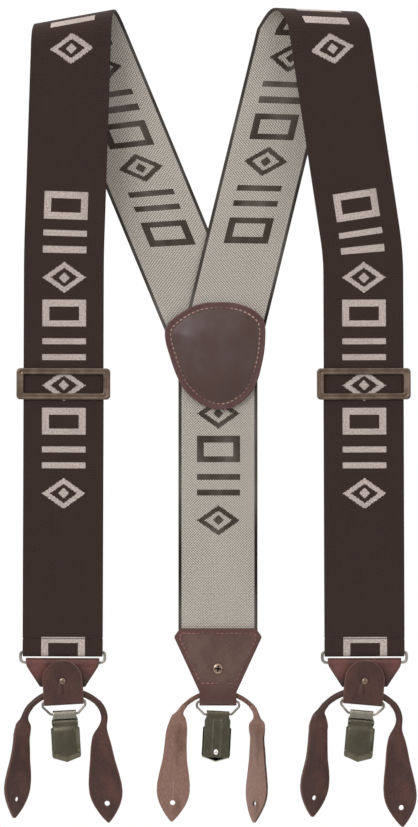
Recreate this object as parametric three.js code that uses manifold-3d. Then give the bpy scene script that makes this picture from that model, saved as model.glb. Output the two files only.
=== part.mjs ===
// A pair of wide Y-back gentlemen's suspenders, hanging from the shoulders.
// Millimetres, +Z up, front towards -Y. Left and right are named as seen from the front,
// so +X is right in the names and the wearer's own left.
// The origin is the highest point inside the shoulder folds, midway between the legs.
import * as THREE from 'three';
import { mergeVertices } from 'three/addons/utils/BufferGeometryUtils.js';
import Module from 'manifold-3d';

const wasm = await Module();
wasm.setup();

// ---- driving dimensions -------------------------------------------------
const gap = 0.3;                  // air left between pieces that touch
const webWidth = 50;
const webThickness = 1.6;
const foldRadius = 11;            // inside radius of the shoulder fold
const bendLength = 25;            // stretch over which a front leg straightens
const bendTop = -140;             // height where that stretch begins
const stackTop = -40;             // where the lower back strap starts to drop behind
const stackBottom = -120;

const ringHeight = -401;          // axis of the wire ring's upper bar
const ringDrop = 6.8;             // from its upper bar to its lower bar
const ringWire = 2.2;
const ringCorner = 2.6;
const turnTall = 8;               // how far the strap's turn reaches above the ring's bar

const adjusterHeight = -233.4;
const adjusterTall = 19.6;
const adjusterBar = 3.8;          // height of the frame's top and bottom bars
const adjusterSide = 4;           // width of its side bars
const adjusterThickness = 1.6;
const adjusterCorner = 2.5;
const windowCorner = 1;
const crossBarHeight = 3;
const crossBarThickness = 1.6;
const crossBarLug = 2.4;

const leather = 1.6;
const yokeWidth = 46;
const yokeFootWidth = 27;
const yokePinch = 8;              // below this the yoke's two layers lie together
const flapWidth = 24.8;
const flapTop = 1.8;
const flapDepth = 23.7;           // from the ring's lower bar to the bail's upper bar
const rivetDrop = 11.3;
const rivetHead = 2.2;
const rivetShank = 1;
const rivetDome = 0.9;

const bailWire = 1.8;
const bailHeight = 8.3;
const bailCorner = 2.4;
const bailShoulder = 3.6;         // how far its arms run straight down before they close in
const curlGap = 0.6;              // air between the bail and the clip's curl
const neckWidth = 14.4;           // the clip's curl, inside the bail

const runnerRadius = 30;          // of the arch that the rolled leather makes
const runnerSpan = 58;            // degrees each way from its top
const frontRunner = 4.2;
const rearRunner = 3.2;
const runnerEase = 1.1;           // share of the roll's radius kept clear of the bail
const tabLength = 65;
const tabWidth = 21;
const tabNeck = 5.5;
const tabWidest = 0.66;           // share of its length down to its widest place
const tabHole = 1.7;
const tabSlit = 13;
const tabSlitWidth = 0.8;
const tabHoleUp = 12;             // from the tip to the buttonhole's round end

const sheet = 0.9;                // clip sheet metal
const plateHalf = 8.1;
const coverHalf = 9;
const coverLength = 28;
const earOut = 1.4;               // how far the pivot pin stands in front of the bail
const pinDrop = 5.2;
const pinRadius = 0.6;
const earRadius = 1.9;
const padThickness = 0.8;
const padTall = 7;
const padInset = 1.2;
const tongueHalf = 3.6;
const tongueThickness = 0.6;
const tongueShort = 5;            // how much shorter the tongue is than the plate
const tongueUp = 2;
const jawRivetShank = 0.8;
const jawRivetHead = 1.7;
const jawRivetCrown = 1.2;
const jawRivetUp = 4.5;
const coverBow = 0.9;

const rearX = 6.6;
const rearTop = -206;
const rearBail = -433.8;          // axis of the rear bail's upper bar
const rearYokeTall = 47.5;        // from that bar to the top of the leather
const rearYokeHalf = 27;
const rearNeckHalf = 11.7;
const rearNeckTall = 10;
const rearStrapInset = 13;        // how far the strap reaches into the leather
const rearTilt = 3.1;
const rearShoulder = 5.5;         // drop of the leather's clipped top corners
const rearCornerIn = 3;
const rearTaper = 14;             // height over which the leather closes in on its neck
const rearRivetInset = 12;        // from the strap's end down to the rivet
const rearRivetHead = 3.2;

const patchThickness = 1.8;
const patchTop = -181.6;
const patchBottom = -249.6;
const patchHalf = 31.8;
const patchX = 7;

// Each side: where the leg meets its ring, how it leans (degrees, towards +X going up)
// below and above the bend, how the back strap leans and where it crosses the fold.
const sides = [
  {
    name: 'left', ringX: -90.6, lean: 0.2, upperLean: 1.9, backLean: -22.5,
    foldZ: -15.5, backX: -76.5, layer: 1, tilt: -3.3, slide: 0,
    tabs: [{ name: 'outer', side: -1, lean: 5.5, yaw: 40 }, { name: 'inner', side: 1, lean: -3.4, yaw: 0 }],
  },
  {
    name: 'right', ringX: 98.2, lean: -0.2, upperLean: -8.6, backLean: 13.8,
    foldZ: -11, backX: 56.7, layer: 0, tilt: 5, slide: -5.5,
    tabs: [{ name: 'inner', side: -1, lean: 4, yaw: 35 }, { name: 'outer', side: 1, lean: -2.5, yaw: 0 }],
  },
];
const rearTabs = [{ name: 'left', side: -1, lean: 3.5, yaw: 0 }, { name: 'right', side: 1, lean: 1.7, yaw: -48 }];

// ---- sizes that follow from them ----------------------------------------
const foldMiddle = foldRadius + webThickness / 2;
const ringY = -foldMiddle + webThickness / 2 + gap + ringWire / 2;
const ringInside = webWidth + 2 * gap;
const turnRadius = ringWire / 2 + gap + webThickness / 2;
const layerStep = webThickness + gap;
const backY = foldMiddle + layerStep / 2;
const bailTopRadius = bailWire / 2 + gap + leather / 2;
const sheetCurl = bailWire / 2 + curlGap + sheet / 2;
const eyeRadius = pinRadius + gap + sheet / 2;
const splitZ = adjusterHeight - adjusterTall / 2 + adjusterBar / 2;
const sagUnder = (half) => runnerRadius - Math.sqrt(runnerRadius ** 2 - half ** 2);
const frontRunnerTop = -flapDepth + bailWire / 2 + gap + frontRunner / 2 * runnerEase + sagUnder(flapWidth / 2);
const rearRunnerTop = bailWire / 2 + 3 * gap + rearRunner / 2 * runnerEase + sagUnder(rearNeckHalf);
const yokeLength = -frontRunnerTop - frontRunner / 2 - gap;
const rearRivetUp = rearYokeTall - rearStrapInset - rearRivetInset;
const clipRivetZ = -coverLength + jawRivetUp;
const padFront = sheetCurl - sheet / 2 - gap - padThickness;
const cutter = 20;                // deep enough to pass through any piece it shapes

// Places across the strap, counted back (+Y) from the middle of the front ply.
const frameBack = -webThickness / 2 - gap;
const crossBarY = 1.5 * webThickness + 2 * gap + crossBarThickness / 2;
const loopRadius = crossBarThickness / 2 + gap + webThickness / 2;

// ---- materials ----------------------------------------------------------
const looks = {
  webbing: { color: 0x43342f, roughness: 0.95, metalness: 0 },
  leather: { color: 0x5b4038, roughness: 0.55, metalness: 0 },
  bronze: { color: 0x6e6052, roughness: 0.42, metalness: 1 },
  wire: { color: 0x9a958c, roughness: 0.35, metalness: 1 },
  gunmetal: { color: 0x5f5b4c, roughness: 0.38, metalness: 1 },
  nickel: { color: 0xb9b3a8, roughness: 0.3, metalness: 1 },
  pad: { color: 0x2b2a28, roughness: 0.8, metalness: 0 },
};
const root = new THREE.Group();

function piece(group, name, look, geometry) {
  const mesh = new THREE.Mesh(geometry, new THREE.MeshStandardMaterial(looks[look]));
  mesh.name = name;
  group.add(mesh);
  return mesh;
}

function child(parent, x, y, z) {
  const group = new THREE.Group();
  group.position.set(x, y, z);
  parent.add(group);
  return group;
}

const radians = THREE.MathUtils.degToRad;
const smooth = THREE.MathUtils.smoothstep;

// ---- solids -------------------------------------------------------------
function solid(geometry) {
  const bare = geometry.clone();
  bare.deleteAttribute('normal');
  bare.deleteAttribute('uv');
  const merged = mergeVertices(bare, 1e-4);
  return new wasm.Manifold(new wasm.Mesh({
    numProp: 3,
    vertProperties: Float32Array.from(merged.attributes.position.array),
    triVerts: Uint32Array.from(merged.index.array),
  }));
}

function shown(manifold) {
  const mesh = manifold.getMesh();
  const geometry = new THREE.BufferGeometry();
  geometry.setAttribute('position', new THREE.BufferAttribute(mesh.vertProperties, 3));
  geometry.setIndex(new THREE.BufferAttribute(mesh.triVerts, 1));
  geometry.computeVertexNormals();
  return geometry;
}

// A side view drawn in (y, z), drawn out along X and centred on it.
function acrossX(shape, width, segments = 6) {
  const geometry = new THREE.ExtrudeGeometry(shape, { depth: width, bevelEnabled: false, curveSegments: segments });
  geometry.translate(0, 0, -width / 2);
  const turn = new THREE.Matrix4().makeBasis(
    new THREE.Vector3(0, 1, 0), new THREE.Vector3(0, 0, 1), new THREE.Vector3(1, 0, 0));
  return geometry.applyMatrix4(turn);
}

// A front view drawn in (x, z), drawn out along Y and centred on it.
function acrossY(shape, depth, segments = 6) {
  const geometry = new THREE.ExtrudeGeometry(shape, { depth, bevelEnabled: false, curveSegments: segments });
  geometry.translate(0, 0, -depth / 2);
  return geometry.rotateX(Math.PI / 2);
}

// A folded sheet's side view: its middle line, given a thickness.
function folded(path, thickness, segments = 8) {
  const line = path.getPoints(segments).filter((p, i, all) => i === 0 || p.distanceTo(all[i - 1]) > 0.01);
  const one = [];
  const other = [];
  line.forEach((point, i) => {
    const before = line[Math.max(i - 1, 0)];
    const after = line[Math.min(i + 1, line.length - 1)];
    const back = point.clone().sub(before).normalize();
    const ahead = after.clone().sub(point).normalize();
    const along = back.clone().add(ahead).normalize();
    const widen = i > 0 && i < line.length - 1 ? 1 / along.dot(ahead) : 1;
    const normal = new THREE.Vector2(-along.y, along.x).multiplyScalar(widen * thickness / 2);
    one.push(point.clone().add(normal));
    other.unshift(point.clone().sub(normal));
  });
  return new THREE.Shape([...one, ...other]);
}

// A loop of round wire, drawn as its flat outline with the corners of the wire taken off.
function wireLoop(outline, wire, segments = 4) {
  const corner = wire * 0.29;
  const geometry = new THREE.ExtrudeGeometry(outline, {
    depth: wire - 2 * corner, curveSegments: segments,
    bevelSize: corner, bevelThickness: corner, bevelOffset: -corner, bevelSegments: 1,
  });
  geometry.translate(0, 0, corner - wire / 2);
  return geometry.rotateX(Math.PI / 2);
}

function polygon(points) {
  return new THREE.Shape(points.map(([x, z]) => new THREE.Vector2(x, z)));
}

function roundedBox(shape, halfX, low, high, radius) {
  shape.moveTo(-halfX + radius, low);
  shape.lineTo(halfX - radius, low);
  shape.absarc(halfX - radius, low + radius, radius, -Math.PI / 2, 0, false);
  shape.absarc(halfX - radius, high - radius, radius, 0, Math.PI / 2, false);
  shape.absarc(-halfX + radius, high - radius, radius, Math.PI / 2, Math.PI, false);
  shape.absarc(-halfX + radius, low + radius, radius, Math.PI, 1.5 * Math.PI, false);
  return shape;
}

function rod(radius, length, sides = 12) {
  return new THREE.CylinderGeometry(radius, radius, length, sides);
}

// A rivet along Y: a shank with a domed head at each end.
function rivet(shank, head, half) {
  const crown = half + rivetDome * 0.8;
  const top = half + rivetDome;
  const profile = [[0, -top], [head * 0.6, -crown], [head, -half], [shank, -half],
    [shank, half], [head, half], [head * 0.6, crown], [0, top]];
  return new THREE.LatheGeometry(profile.map(([r, y]) => new THREE.Vector2(r, y)), 14);
}

// ---- webbing ------------------------------------------------------------
// A strap is a row of stations: its two edges and the way its outer face looks.
function webbing(stations) {
  const steps = stations.length - 1;
  const geometry = new THREE.BoxGeometry(1, 1, steps, 1, 1, steps);
  const place = geometry.attributes.position;
  for (let i = 0; i < place.count; i++) {
    const station = stations[Math.round(place.getZ(i) + steps / 2)];
    const edge = place.getX(i) > 0 ? station.plus : station.minus;
    const lift = Math.sign(-place.getY(i)) * webThickness / 2;
    const point = edge.clone().addScaledVector(station.outward, lift);
    place.setXYZ(i, point.x, point.y, point.z);
  }
  return geometry;
}

// The middle of a front leg at a height, and its lean there.
function legAt(side, z) {
  const bendBottom = bendTop - bendLength;
  const low = Math.tan(radians(side.lean));
  const high = Math.tan(radians(side.upperLean));
  const share = THREE.MathUtils.clamp((z - bendBottom) / bendLength, 0, 1);
  const slope = low + (high - low) * share;
  const straight = side.ringX + (Math.min(z, bendBottom) - ringHeight) * low;
  const bend = bendLength * (low * share + (high - low) * share * share / 2);
  const above = Math.max(z - bendTop, 0) * high;
  return { x: straight + bend + above, slope };
}

function frontStation(side, z, y = -foldMiddle, outward = -1) {
  const { x, slope } = legAt(side, z);
  const reach = webWidth / 2 / Math.hypot(1, slope);
  return {
    minus: new THREE.Vector3(x - reach, y, z + reach * slope),
    plus: new THREE.Vector3(x + reach, y, z - reach * slope),
    outward: new THREE.Vector3(0, outward, 0),
  };
}

// The fold's axis halves the angle between the front leg and the back strap.
function foldOf(side) {
  const turn = radians((side.upperLean + side.backLean) / 2);
  const cross = radians((side.upperLean - side.backLean) / 2);
  return {
    along: new THREE.Vector3(Math.cos(turn), 0, -Math.sin(turn)),
    up: new THREE.Vector3(Math.sin(turn), 0, Math.cos(turn)),
    half: webWidth / 2 / Math.cos(cross),
    front: new THREE.Vector3(legAt(side, side.foldZ).x, 0, side.foldZ),
    back: new THREE.Vector3(side.backX, 0, side.foldZ),
  };
}

function foldStation(side, angle) {
  const fold = foldOf(side);
  const outward = new THREE.Vector3(0, -Math.cos(angle), 0).addScaledVector(fold.up, Math.sin(angle));
  const level = fold.front.clone().lerp(fold.back, angle / Math.PI);
  level.addScaledVector(fold.up, -level.clone().sub(fold.front).dot(fold.up));
  const middle = level.addScaledVector(outward, foldMiddle);
  return {
    minus: middle.clone().addScaledVector(fold.along, -fold.half),
    plus: middle.clone().addScaledVector(fold.along, fold.half),
    outward,
  };
}

// The back strap, from the fold (0) down to its level cut end under the patch (1).
function backStation(side, share) {
  const start = foldStation(side, Math.PI);
  const slope = Math.tan(radians(side.backLean));
  const station = { outward: start.outward };
  for (const edge of ['minus', 'plus']) {
    const top = start[edge];
    const z = THREE.MathUtils.lerp(top.z, rearTop + gap, share);
    const y = top.y + side.layer * layerStep * (1 - smooth(z, stackBottom, stackTop));
    station[edge] = new THREE.Vector3(top.x + (z - top.z) * slope, y, z);
  }
  return station;
}

function levels(from, to, count) {
  return Array.from({ length: count + 1 }, (unused, i) => from + (to - from) * i / count);
}

function shoulderStrap(side) {
  const bendBottom = bendTop - bendLength;
  const legTop = side.foldZ - webWidth / 4;
  const heights = [splitZ, ...levels(bendBottom, bendTop, 5), legTop];
  const stations = heights.map((z) => frontStation(side, z));
  stations.push(...levels(0, Math.PI, 16).map((angle) => foldStation(side, angle)));
  stations.push(...levels(0, 1, 12).slice(1).map((share) => backStation(side, share)));
  return webbing(stations);
}

// ---- leather ------------------------------------------------------------
// The yoke hangs over the ring's lower bar, its two layers brought together below.
function yoke() {
  const curl = ringWire / 2 + gap + leather / 2;
  const together = leather / 2 + gap / 2;
  const side = new THREE.Path();
  side.moveTo(-together, -yokeLength);
  side.lineTo(-together, -yokePinch);
  side.lineTo(-curl, 0);
  side.absarc(0, 0, curl, Math.PI, 0, true);
  side.lineTo(together, -yokePinch);
  side.lineTo(together, -yokeLength);
  const outline = polygon([[-yokeFootWidth / 2, -yokeLength - 1], [yokeFootWidth / 2, -yokeLength - 1],
    [yokeWidth / 2, -curl / 2], [yokeWidth / 2, curl + 1], [-yokeWidth / 2, curl + 1], [-yokeWidth / 2, -curl / 2]]);
  const hole = solid(rod(rivetShank + gap, cutter)).translate([0, 0, -rivetDrop]);
  const sheetSolid = solid(acrossX(folded(side, leather), yokeWidth + 1));
  return shown(sheetSolid.intersect(solid(acrossY(outline, cutter))).subtract(hole));
}

// The flap: a round-topped strip that passes round the bail and up behind the yoke.
function flap(runner) {
  const overYoke = ringWire / 2 + gap + leather + gap + leather / 2;
  const roundRunner = runner / 2 + gap + leather / 2;
  const wide = -rivetDrop + rivetHead + gap;
  const narrow = -flapDepth + bailWire + runner / 2 - gap;
  const side = new THREE.Path();
  side.moveTo(-overYoke, flapTop);
  side.lineTo(-overYoke, -yokePinch / 2);
  side.lineTo(-roundRunner, wide);
  side.lineTo(-roundRunner, narrow);
  side.lineTo(-bailTopRadius, -flapDepth);
  side.absarc(0, -flapDepth, bailTopRadius, Math.PI, 2 * Math.PI, false);
  side.lineTo(roundRunner, narrow);
  side.lineTo(roundRunner, wide);
  side.lineTo(overYoke, -yokePinch / 2);
  side.lineTo(overYoke, flapTop);
  const half = flapWidth / 2;
  const outline = new THREE.Shape();
  outline.moveTo(-half, -flapDepth - 10);
  outline.lineTo(half, -flapDepth - 10);
  outline.lineTo(half, flapTop - half);
  outline.absarc(0, flapTop - half, half, 0, Math.PI, false);
  const hole = solid(rod(rivetShank + gap, cutter)).translate([0, 0, -rivetDrop]);
  const strip = solid(acrossX(folded(side, leather), flapWidth + 1));
  return shown(strip.intersect(solid(acrossY(outline, cutter, 8))).subtract(hole));
}

// The rear leather: one piece folded round the bail, with the rear strap sewn inside.
function rearYoke() {
  const round = rearRunner / 2 + gap + leather / 2;
  const flat = webThickness / 2 + gap + leather / 2;
  const side = new THREE.Path();
  side.moveTo(-flat, rearYokeTall);
  side.lineTo(-flat, rearNeckTall + rearTaper);
  side.lineTo(-round, rearNeckTall);
  side.lineTo(-round, bailWire + rearRunner / 2);
  side.lineTo(-bailTopRadius, 0);
  side.absarc(0, 0, bailTopRadius, Math.PI, 2 * Math.PI, false);
  side.lineTo(round, bailWire + rearRunner / 2);
  side.lineTo(round, rearNeckTall);
  side.lineTo(flat, rearNeckTall + rearTaper);
  side.lineTo(flat, rearYokeTall);
  const shoulder = rearYokeTall - rearShoulder;
  const corner = rearYokeHalf - rearCornerIn;
  const outline = polygon([[-rearNeckHalf, -6], [rearNeckHalf, -6], [rearNeckHalf, rearNeckTall],
    [rearYokeHalf, shoulder], [corner, rearYokeTall + 1], [-corner, rearYokeTall + 1],
    [-rearYokeHalf, shoulder], [-rearNeckHalf, rearNeckTall]]);
  const hole = solid(rod(rivetShank + gap, cutter)).translate([0, 0, rearRivetUp]);
  const strip = solid(acrossX(folded(side, leather), 2 * rearYokeHalf + 1));
  return shown(strip.intersect(solid(acrossY(outline, cutter))).subtract(hole));
}

class Arch extends THREE.Curve {
  getPoint(share) {
    const angle = radians(runnerSpan) * (2 * share - 1);
    const x = runnerRadius * Math.sin(angle);
    return new THREE.Vector3(x, 0, runnerRadius * (Math.cos(angle) - 1));
  }
}

function rolledRunner(diameter) {
  const section = new THREE.Shape();
  section.absarc(0, 0, diameter / 2, 0, 2 * Math.PI, false);
  return new THREE.ExtrudeGeometry(section, { steps: 20, curveSegments: 5, extrudePath: new Arch() });
}

// A button tab: a leaf of leather with a keyhole, hanging from its rolled neck.
function tab() {
  const half = tabWidth / 2;
  const widest = -tabLength * tabWidest;
  const leaf = new THREE.Shape();
  leaf.moveTo(-tabNeck / 2, 0);
  leaf.bezierCurveTo(-tabNeck / 2, -tabLength * 0.3, -half, -tabLength * 0.4, -half, widest);
  leaf.bezierCurveTo(-half, -tabLength * 0.86, -half * 0.45, -tabLength, 0, -tabLength);
  leaf.bezierCurveTo(half * 0.45, -tabLength, half, -tabLength * 0.86, half, widest);
  leaf.bezierCurveTo(half, -tabLength * 0.4, tabNeck / 2, -tabLength * 0.3, tabNeck / 2, 0);
  const centre = -tabLength + tabHoleUp;
  const mouth = Math.asin(tabSlitWidth / 2 / tabHole);
  const hole = new THREE.Path();
  hole.absarc(0, centre, tabHole, Math.PI / 2 + mouth, Math.PI / 2 - mouth + 2 * Math.PI, false);
  hole.lineTo(tabSlitWidth / 2, centre + tabSlit);
  hole.lineTo(-tabSlitWidth / 2, centre + tabSlit);
  leaf.holes.push(hole);
  return acrossY(leaf, leather, 7);
}

// The runner and its two tabs. slide turns the arch along itself, in degrees.
function buttonTabs(group, prefix, tabs, diameter, tilt, slide) {
  const centre = child(group, 0, 0, -runnerRadius);
  centre.rotation.y = radians(slide);
  const top = child(centre, 0, 0, runnerRadius);
  piece(top, `${prefix}_runner`, 'leather', rolledRunner(diameter));
  const angle = radians(runnerSpan);
  for (const end of tabs) {
    const x = end.side * runnerRadius * Math.sin(angle);
    const hang = child(top, x, 0, runnerRadius * (Math.cos(angle) - 1));
    hang.rotation.set(0, radians(end.lean - tilt - slide), radians(end.yaw), 'YXZ');
    const leaf = piece(hang, `${prefix}_tab_${end.name}`, 'leather', tab());
    leaf.position.z = -diameter / 2 * Math.sin(angle) - gap;
  }
}

// ---- metal --------------------------------------------------------------
function ring() {
  const half = ringInside / 2 + ringWire;
  const outline = roundedBox(new THREE.Shape(), half, -ringDrop - ringWire / 2, ringWire / 2, ringCorner);
  const inside = roundedBox(new THREE.Path(), ringInside / 2, -ringDrop + ringWire / 2, -ringWire / 2, gap);
  outline.holes.push(inside);
  return wireLoop(outline, ringWire);
}

function bail() {
  const wire = bailWire / 2;
  const top = flapWidth / 2 + gap;
  const low = neckWidth / 2 + gap;
  const outline = new THREE.Shape();
  outline.moveTo(-low - bailWire, -bailHeight - wire);
  outline.lineTo(low + bailWire, -bailHeight - wire);
  outline.lineTo(top + bailWire, -bailShoulder);
  outline.lineTo(top + bailWire, wire - bailCorner);
  outline.quadraticCurveTo(top + bailWire, wire, top + bailWire - bailCorner, wire);
  outline.lineTo(-top - bailWire + bailCorner, wire);
  outline.quadraticCurveTo(-top - bailWire, wire, -top - bailWire, wire - bailCorner);
  outline.lineTo(-top - bailWire, -bailShoulder);
  const inside = new THREE.Path();
  inside.moveTo(-low, -bailHeight + wire);
  inside.lineTo(low, -bailHeight + wire);
  inside.lineTo(top, -bailShoulder);
  inside.lineTo(top, -wire);
  inside.lineTo(-top, -wire);
  inside.lineTo(-top, -bailShoulder);
  outline.holes.push(inside);
  return wireLoop(outline, bailWire);
}

function adjusterFrame() {
  const half = webWidth / 2 + gap + adjusterSide;
  const tall = adjusterTall / 2;
  const outline = roundedBox(new THREE.Shape(), half, -tall, tall, adjusterCorner);
  const window = roundedBox(new THREE.Path(), half - adjusterSide, -tall + adjusterBar, tall - adjusterBar, windowCorner);
  outline.holes.push(window);
  return acrossY(outline, adjusterThickness, 4);
}

// The cross bar lies behind the strap and turns forward at both ends to the frame.
function crossBar() {
  const half = webWidth / 2 + gap;
  const back = crossBarY + crossBarThickness / 2;
  const front = frameBack + gap;
  const bar = polygon([[-half - crossBarLug, front], [-half, front], [-half, back - crossBarThickness],
    [half, back - crossBarThickness], [half, front], [half + crossBarLug, front],
    [half + crossBarLug, back], [-half - crossBarLug, back]]);
  const geometry = new THREE.ExtrudeGeometry(bar, { depth: crossBarHeight, bevelEnabled: false });
  return geometry.translate(0, 0, -crossBarHeight / 2);
}

// The return ply: sewn round the cross bar at its top, running down to the ring's turn.
function returnPly(length) {
  const rear = 2 * turnRadius;
  const side = new THREE.Path();
  side.moveTo(crossBarY - loopRadius, -crossBarHeight);
  side.lineTo(crossBarY - loopRadius, crossBarHeight / 2);
  side.absarc(crossBarY, crossBarHeight / 2, loopRadius, Math.PI, 0, true);
  side.lineTo(crossBarY + loopRadius, -crossBarHeight);
  side.lineTo(rear, -length);
  return acrossX(folded(side, webThickness, 6), webWidth);
}

// The strap's turn round the ring's upper bar.
function strapTurn(tall) {
  const side = new THREE.Path();
  side.moveTo(-turnRadius, tall);
  side.lineTo(-turnRadius, 0);
  side.absarc(0, 0, turnRadius, Math.PI, 2 * Math.PI, false);
  side.lineTo(turnRadius, tall);
  return acrossX(folded(side, webThickness, 10), webWidth);
}

// ---- the clip, hung from its bail; its cover faces -Y --------------------
function clipPlate() {
  const side = new THREE.Path();
  side.moveTo(sheetCurl, -coverLength + 1);
  side.lineTo(sheetCurl, 0);
  side.absarc(0, 0, sheetCurl, 0, Math.PI, false);
  side.lineTo(-sheetCurl, -pinDrop + earRadius + 0.6);
  const neckLow = -bailWire / 2 - 2 * gap;
  const outline = polygon([[-plateHalf, -coverLength], [plateHalf, -coverLength], [plateHalf, neckLow - 2],
    [neckWidth / 2, neckLow], [neckWidth / 2, 4], [-neckWidth / 2, 4], [-neckWidth / 2, neckLow], [-plateHalf, neckLow - 2]]);
  let plate = solid(acrossX(folded(side, sheet), 2 * plateHalf + 1)).intersect(solid(acrossY(outline, cutter)));
  const ear = new THREE.Shape();
  ear.moveTo(sheetCurl, -pinDrop - earRadius);
  ear.lineTo(sheetCurl, -pinDrop + earRadius);
  ear.lineTo(-earOut, -pinDrop + earRadius);
  ear.absarc(-earOut, -pinDrop, earRadius, Math.PI / 2, 1.5 * Math.PI, false);
  const pinHole = solid(rod(pinRadius + gap, 4 * plateHalf).rotateZ(Math.PI / 2)).translate([0, -earOut, -pinDrop]);
  for (const hand of [-1, 1]) {
    plate = plate.add(solid(acrossX(ear, sheet)).translate([hand * (plateHalf - sheet / 2), 0, 0]));
  }
  const rivetHole = solid(rod(jawRivetShank + gap, cutter)).translate([0, 0, clipRivetZ]);
  return shown(plate.subtract(pinHole).subtract(rivetHole));
}

function clipCover() {
  const front = -earOut - eyeRadius;
  const inside = padFront - gap - sheet / 2;
  const side = new THREE.Path();
  side.absarc(-earOut, -pinDrop, eyeRadius, -Math.PI / 3, Math.PI, false);
  side.lineTo(front, -pinDrop - 3);
  side.quadraticCurveTo(front - coverBow, -coverLength / 2, front, -coverLength + 5);
  side.quadraticCurveTo(front + 0.2, -coverLength, inside, -coverLength - 0.6);
  const between = plateHalf - sheet - gap;
  const below = -pinDrop - earRadius - gap;
  const outline = new THREE.Shape();
  outline.moveTo(-between, 0);
  outline.lineTo(-between, below);
  outline.lineTo(-coverHalf, below - 1);
  outline.lineTo(-coverHalf, -coverLength + 3);
  outline.quadraticCurveTo(-coverHalf, -coverLength, 0, -coverLength - 1.6);
  outline.quadraticCurveTo(coverHalf, -coverLength, coverHalf, -coverLength + 3);
  outline.lineTo(coverHalf, below - 1);
  outline.lineTo(between, below);
  outline.lineTo(between, 0);
  const cover = solid(acrossX(folded(side, sheet, 6), 2 * coverHalf + 1));
  return shown(cover.intersect(solid(acrossY(outline, cutter, 5))));
}

function clipPad() {
  const pad = new THREE.BoxGeometry(2 * plateHalf - padInset, padThickness, padTall);
  pad.translate(0, padFront + padThickness / 2, clipRivetZ);
  const hole = solid(rod(jawRivetShank + gap, cutter)).translate([0, 0, clipRivetZ]);
  return shown(solid(pad).subtract(hole));
}

function clipTongue() {
  const inner = sheetCurl + sheet / 2 + gap;
  const long = coverLength - tongueShort;
  const tongue = new THREE.BoxGeometry(2 * tongueHalf, tongueThickness, long);
  tongue.translate(0, inner + tongueThickness / 2, -coverLength + long / 2 + tongueUp);
  const hole = solid(rod(jawRivetShank + gap, cutter)).translate([0, 0, clipRivetZ]);
  return shown(solid(tongue).subtract(hole));
}

// The jaw rivet is headed over the pad's back and the tongue's front.
function clipRivet() {
  const front = padFront + padThickness / 2;
  const back = sheetCurl + sheet / 2 + tongueThickness + 2 * gap;
  const profile = [[0, front], [jawRivetShank, front], [jawRivetShank, back], [jawRivetHead, back],
    [jawRivetCrown, back + 0.6], [0, back + 0.8]];
  return new THREE.LatheGeometry(profile.map(([r, y]) => new THREE.Vector2(r, y)), 12);
}

function clip(group, prefix, tilt) {
  piece(group, `${prefix}_bail`, 'wire', bail());
  const jaw = child(group, 0, 0, -bailHeight);
  jaw.rotation.y = tilt;
  piece(jaw, `${prefix}_clip_plate`, 'gunmetal', clipPlate());
  piece(jaw, `${prefix}_clip_cover`, 'gunmetal', clipCover());
  const pin = piece(jaw, `${prefix}_clip_pin`, 'nickel', rod(pinRadius, 2 * plateHalf + 0.6));
  pin.position.set(0, -earOut, -pinDrop);
  pin.rotation.z = Math.PI / 2;
  piece(jaw, `${prefix}_clip_tongue`, 'gunmetal', clipTongue());
  piece(jaw, `${prefix}_clip_rivet`, 'nickel', clipRivet()).position.z = clipRivetZ;
  piece(jaw, `${prefix}_clip_pad`, 'pad', clipPad());
}

// ---- front ends ---------------------------------------------------------
function frontEnd(side) {
  const name = side.name;
  const lean = Math.atan(legAt(side, adjusterHeight).slope);

  piece(root, `${name}_strap`, 'webbing', shoulderStrap(side));
  const plyLow = ringHeight + turnTall + gap;
  const ply = [splitZ - gap, plyLow].map((z) => frontStation(side, z));
  piece(root, `${name}_front_ply`, 'webbing', webbing(ply.reverse()));

  const adjuster = child(root, legAt(side, adjusterHeight).x, -foldMiddle, adjusterHeight);
  adjuster.rotation.y = lean;
  const frame = piece(adjuster, `${name}_adjuster_frame`, 'bronze', adjusterFrame());
  frame.position.y = frameBack - adjusterThickness / 2;
  piece(adjuster, `${name}_adjuster_bar`, 'bronze', crossBar());
  const plyLength = (adjusterHeight - plyLow) / Math.cos(lean);
  piece(adjuster, `${name}_return_ply`, 'webbing', returnPly(plyLength));

  const hanger = child(root, side.ringX, ringY, ringHeight);
  hanger.rotation.y = lean;
  piece(hanger, `${name}_strap_turn`, 'webbing', strapTurn(turnTall));
  piece(hanger, `${name}_ring`, 'wire', ring());

  const bar = child(hanger, 0, 0, -ringDrop);
  piece(bar, `${name}_yoke`, 'leather', yoke());

  const pivot = child(bar, 0, 0, -rivetDrop);
  pivot.rotation.y = radians(side.tilt) - lean;
  const low = child(pivot, 0, 0, rivetDrop);
  piece(low, `${name}_flap`, 'leather', flap(frontRunner));
  const overFlap = frontRunner / 2 + 2 * gap + leather;
  piece(low, `${name}_rivet`, 'bronze', rivet(rivetShank, rivetHead, overFlap)).position.z = -rivetDrop;
  buttonTabs(child(low, 0, 0, frontRunnerTop), name, side.tabs, frontRunner, side.tilt, side.slide);
  clip(child(low, 0, 0, -flapDepth), name, 0);
}

// ---- rear end -----------------------------------------------------------
function patchShape() {
  const low = -(patchTop - patchBottom) / 2;
  const shape = new THREE.Shape();
  shape.moveTo(0, low);
  for (const hand of [1, -1]) {
    const half = hand * patchHalf;
    const towards = [[0.45 * half, low], [0.86 * half, low * 0.4], [half, -low * 0.28]];
    const away = [[half * 1.08, -low * 0.72], [half * 0.5, -low], [0, -low]];
    if (hand > 0) {
      shape.bezierCurveTo(...towards.flat());
      shape.bezierCurveTo(...away.flat());
    } else {
      shape.bezierCurveTo(...away[1], ...away[0], ...towards[2]);
      shape.bezierCurveTo(...towards[1], ...towards[0], 0, low);
    }
  }
  return shape;
}

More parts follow.
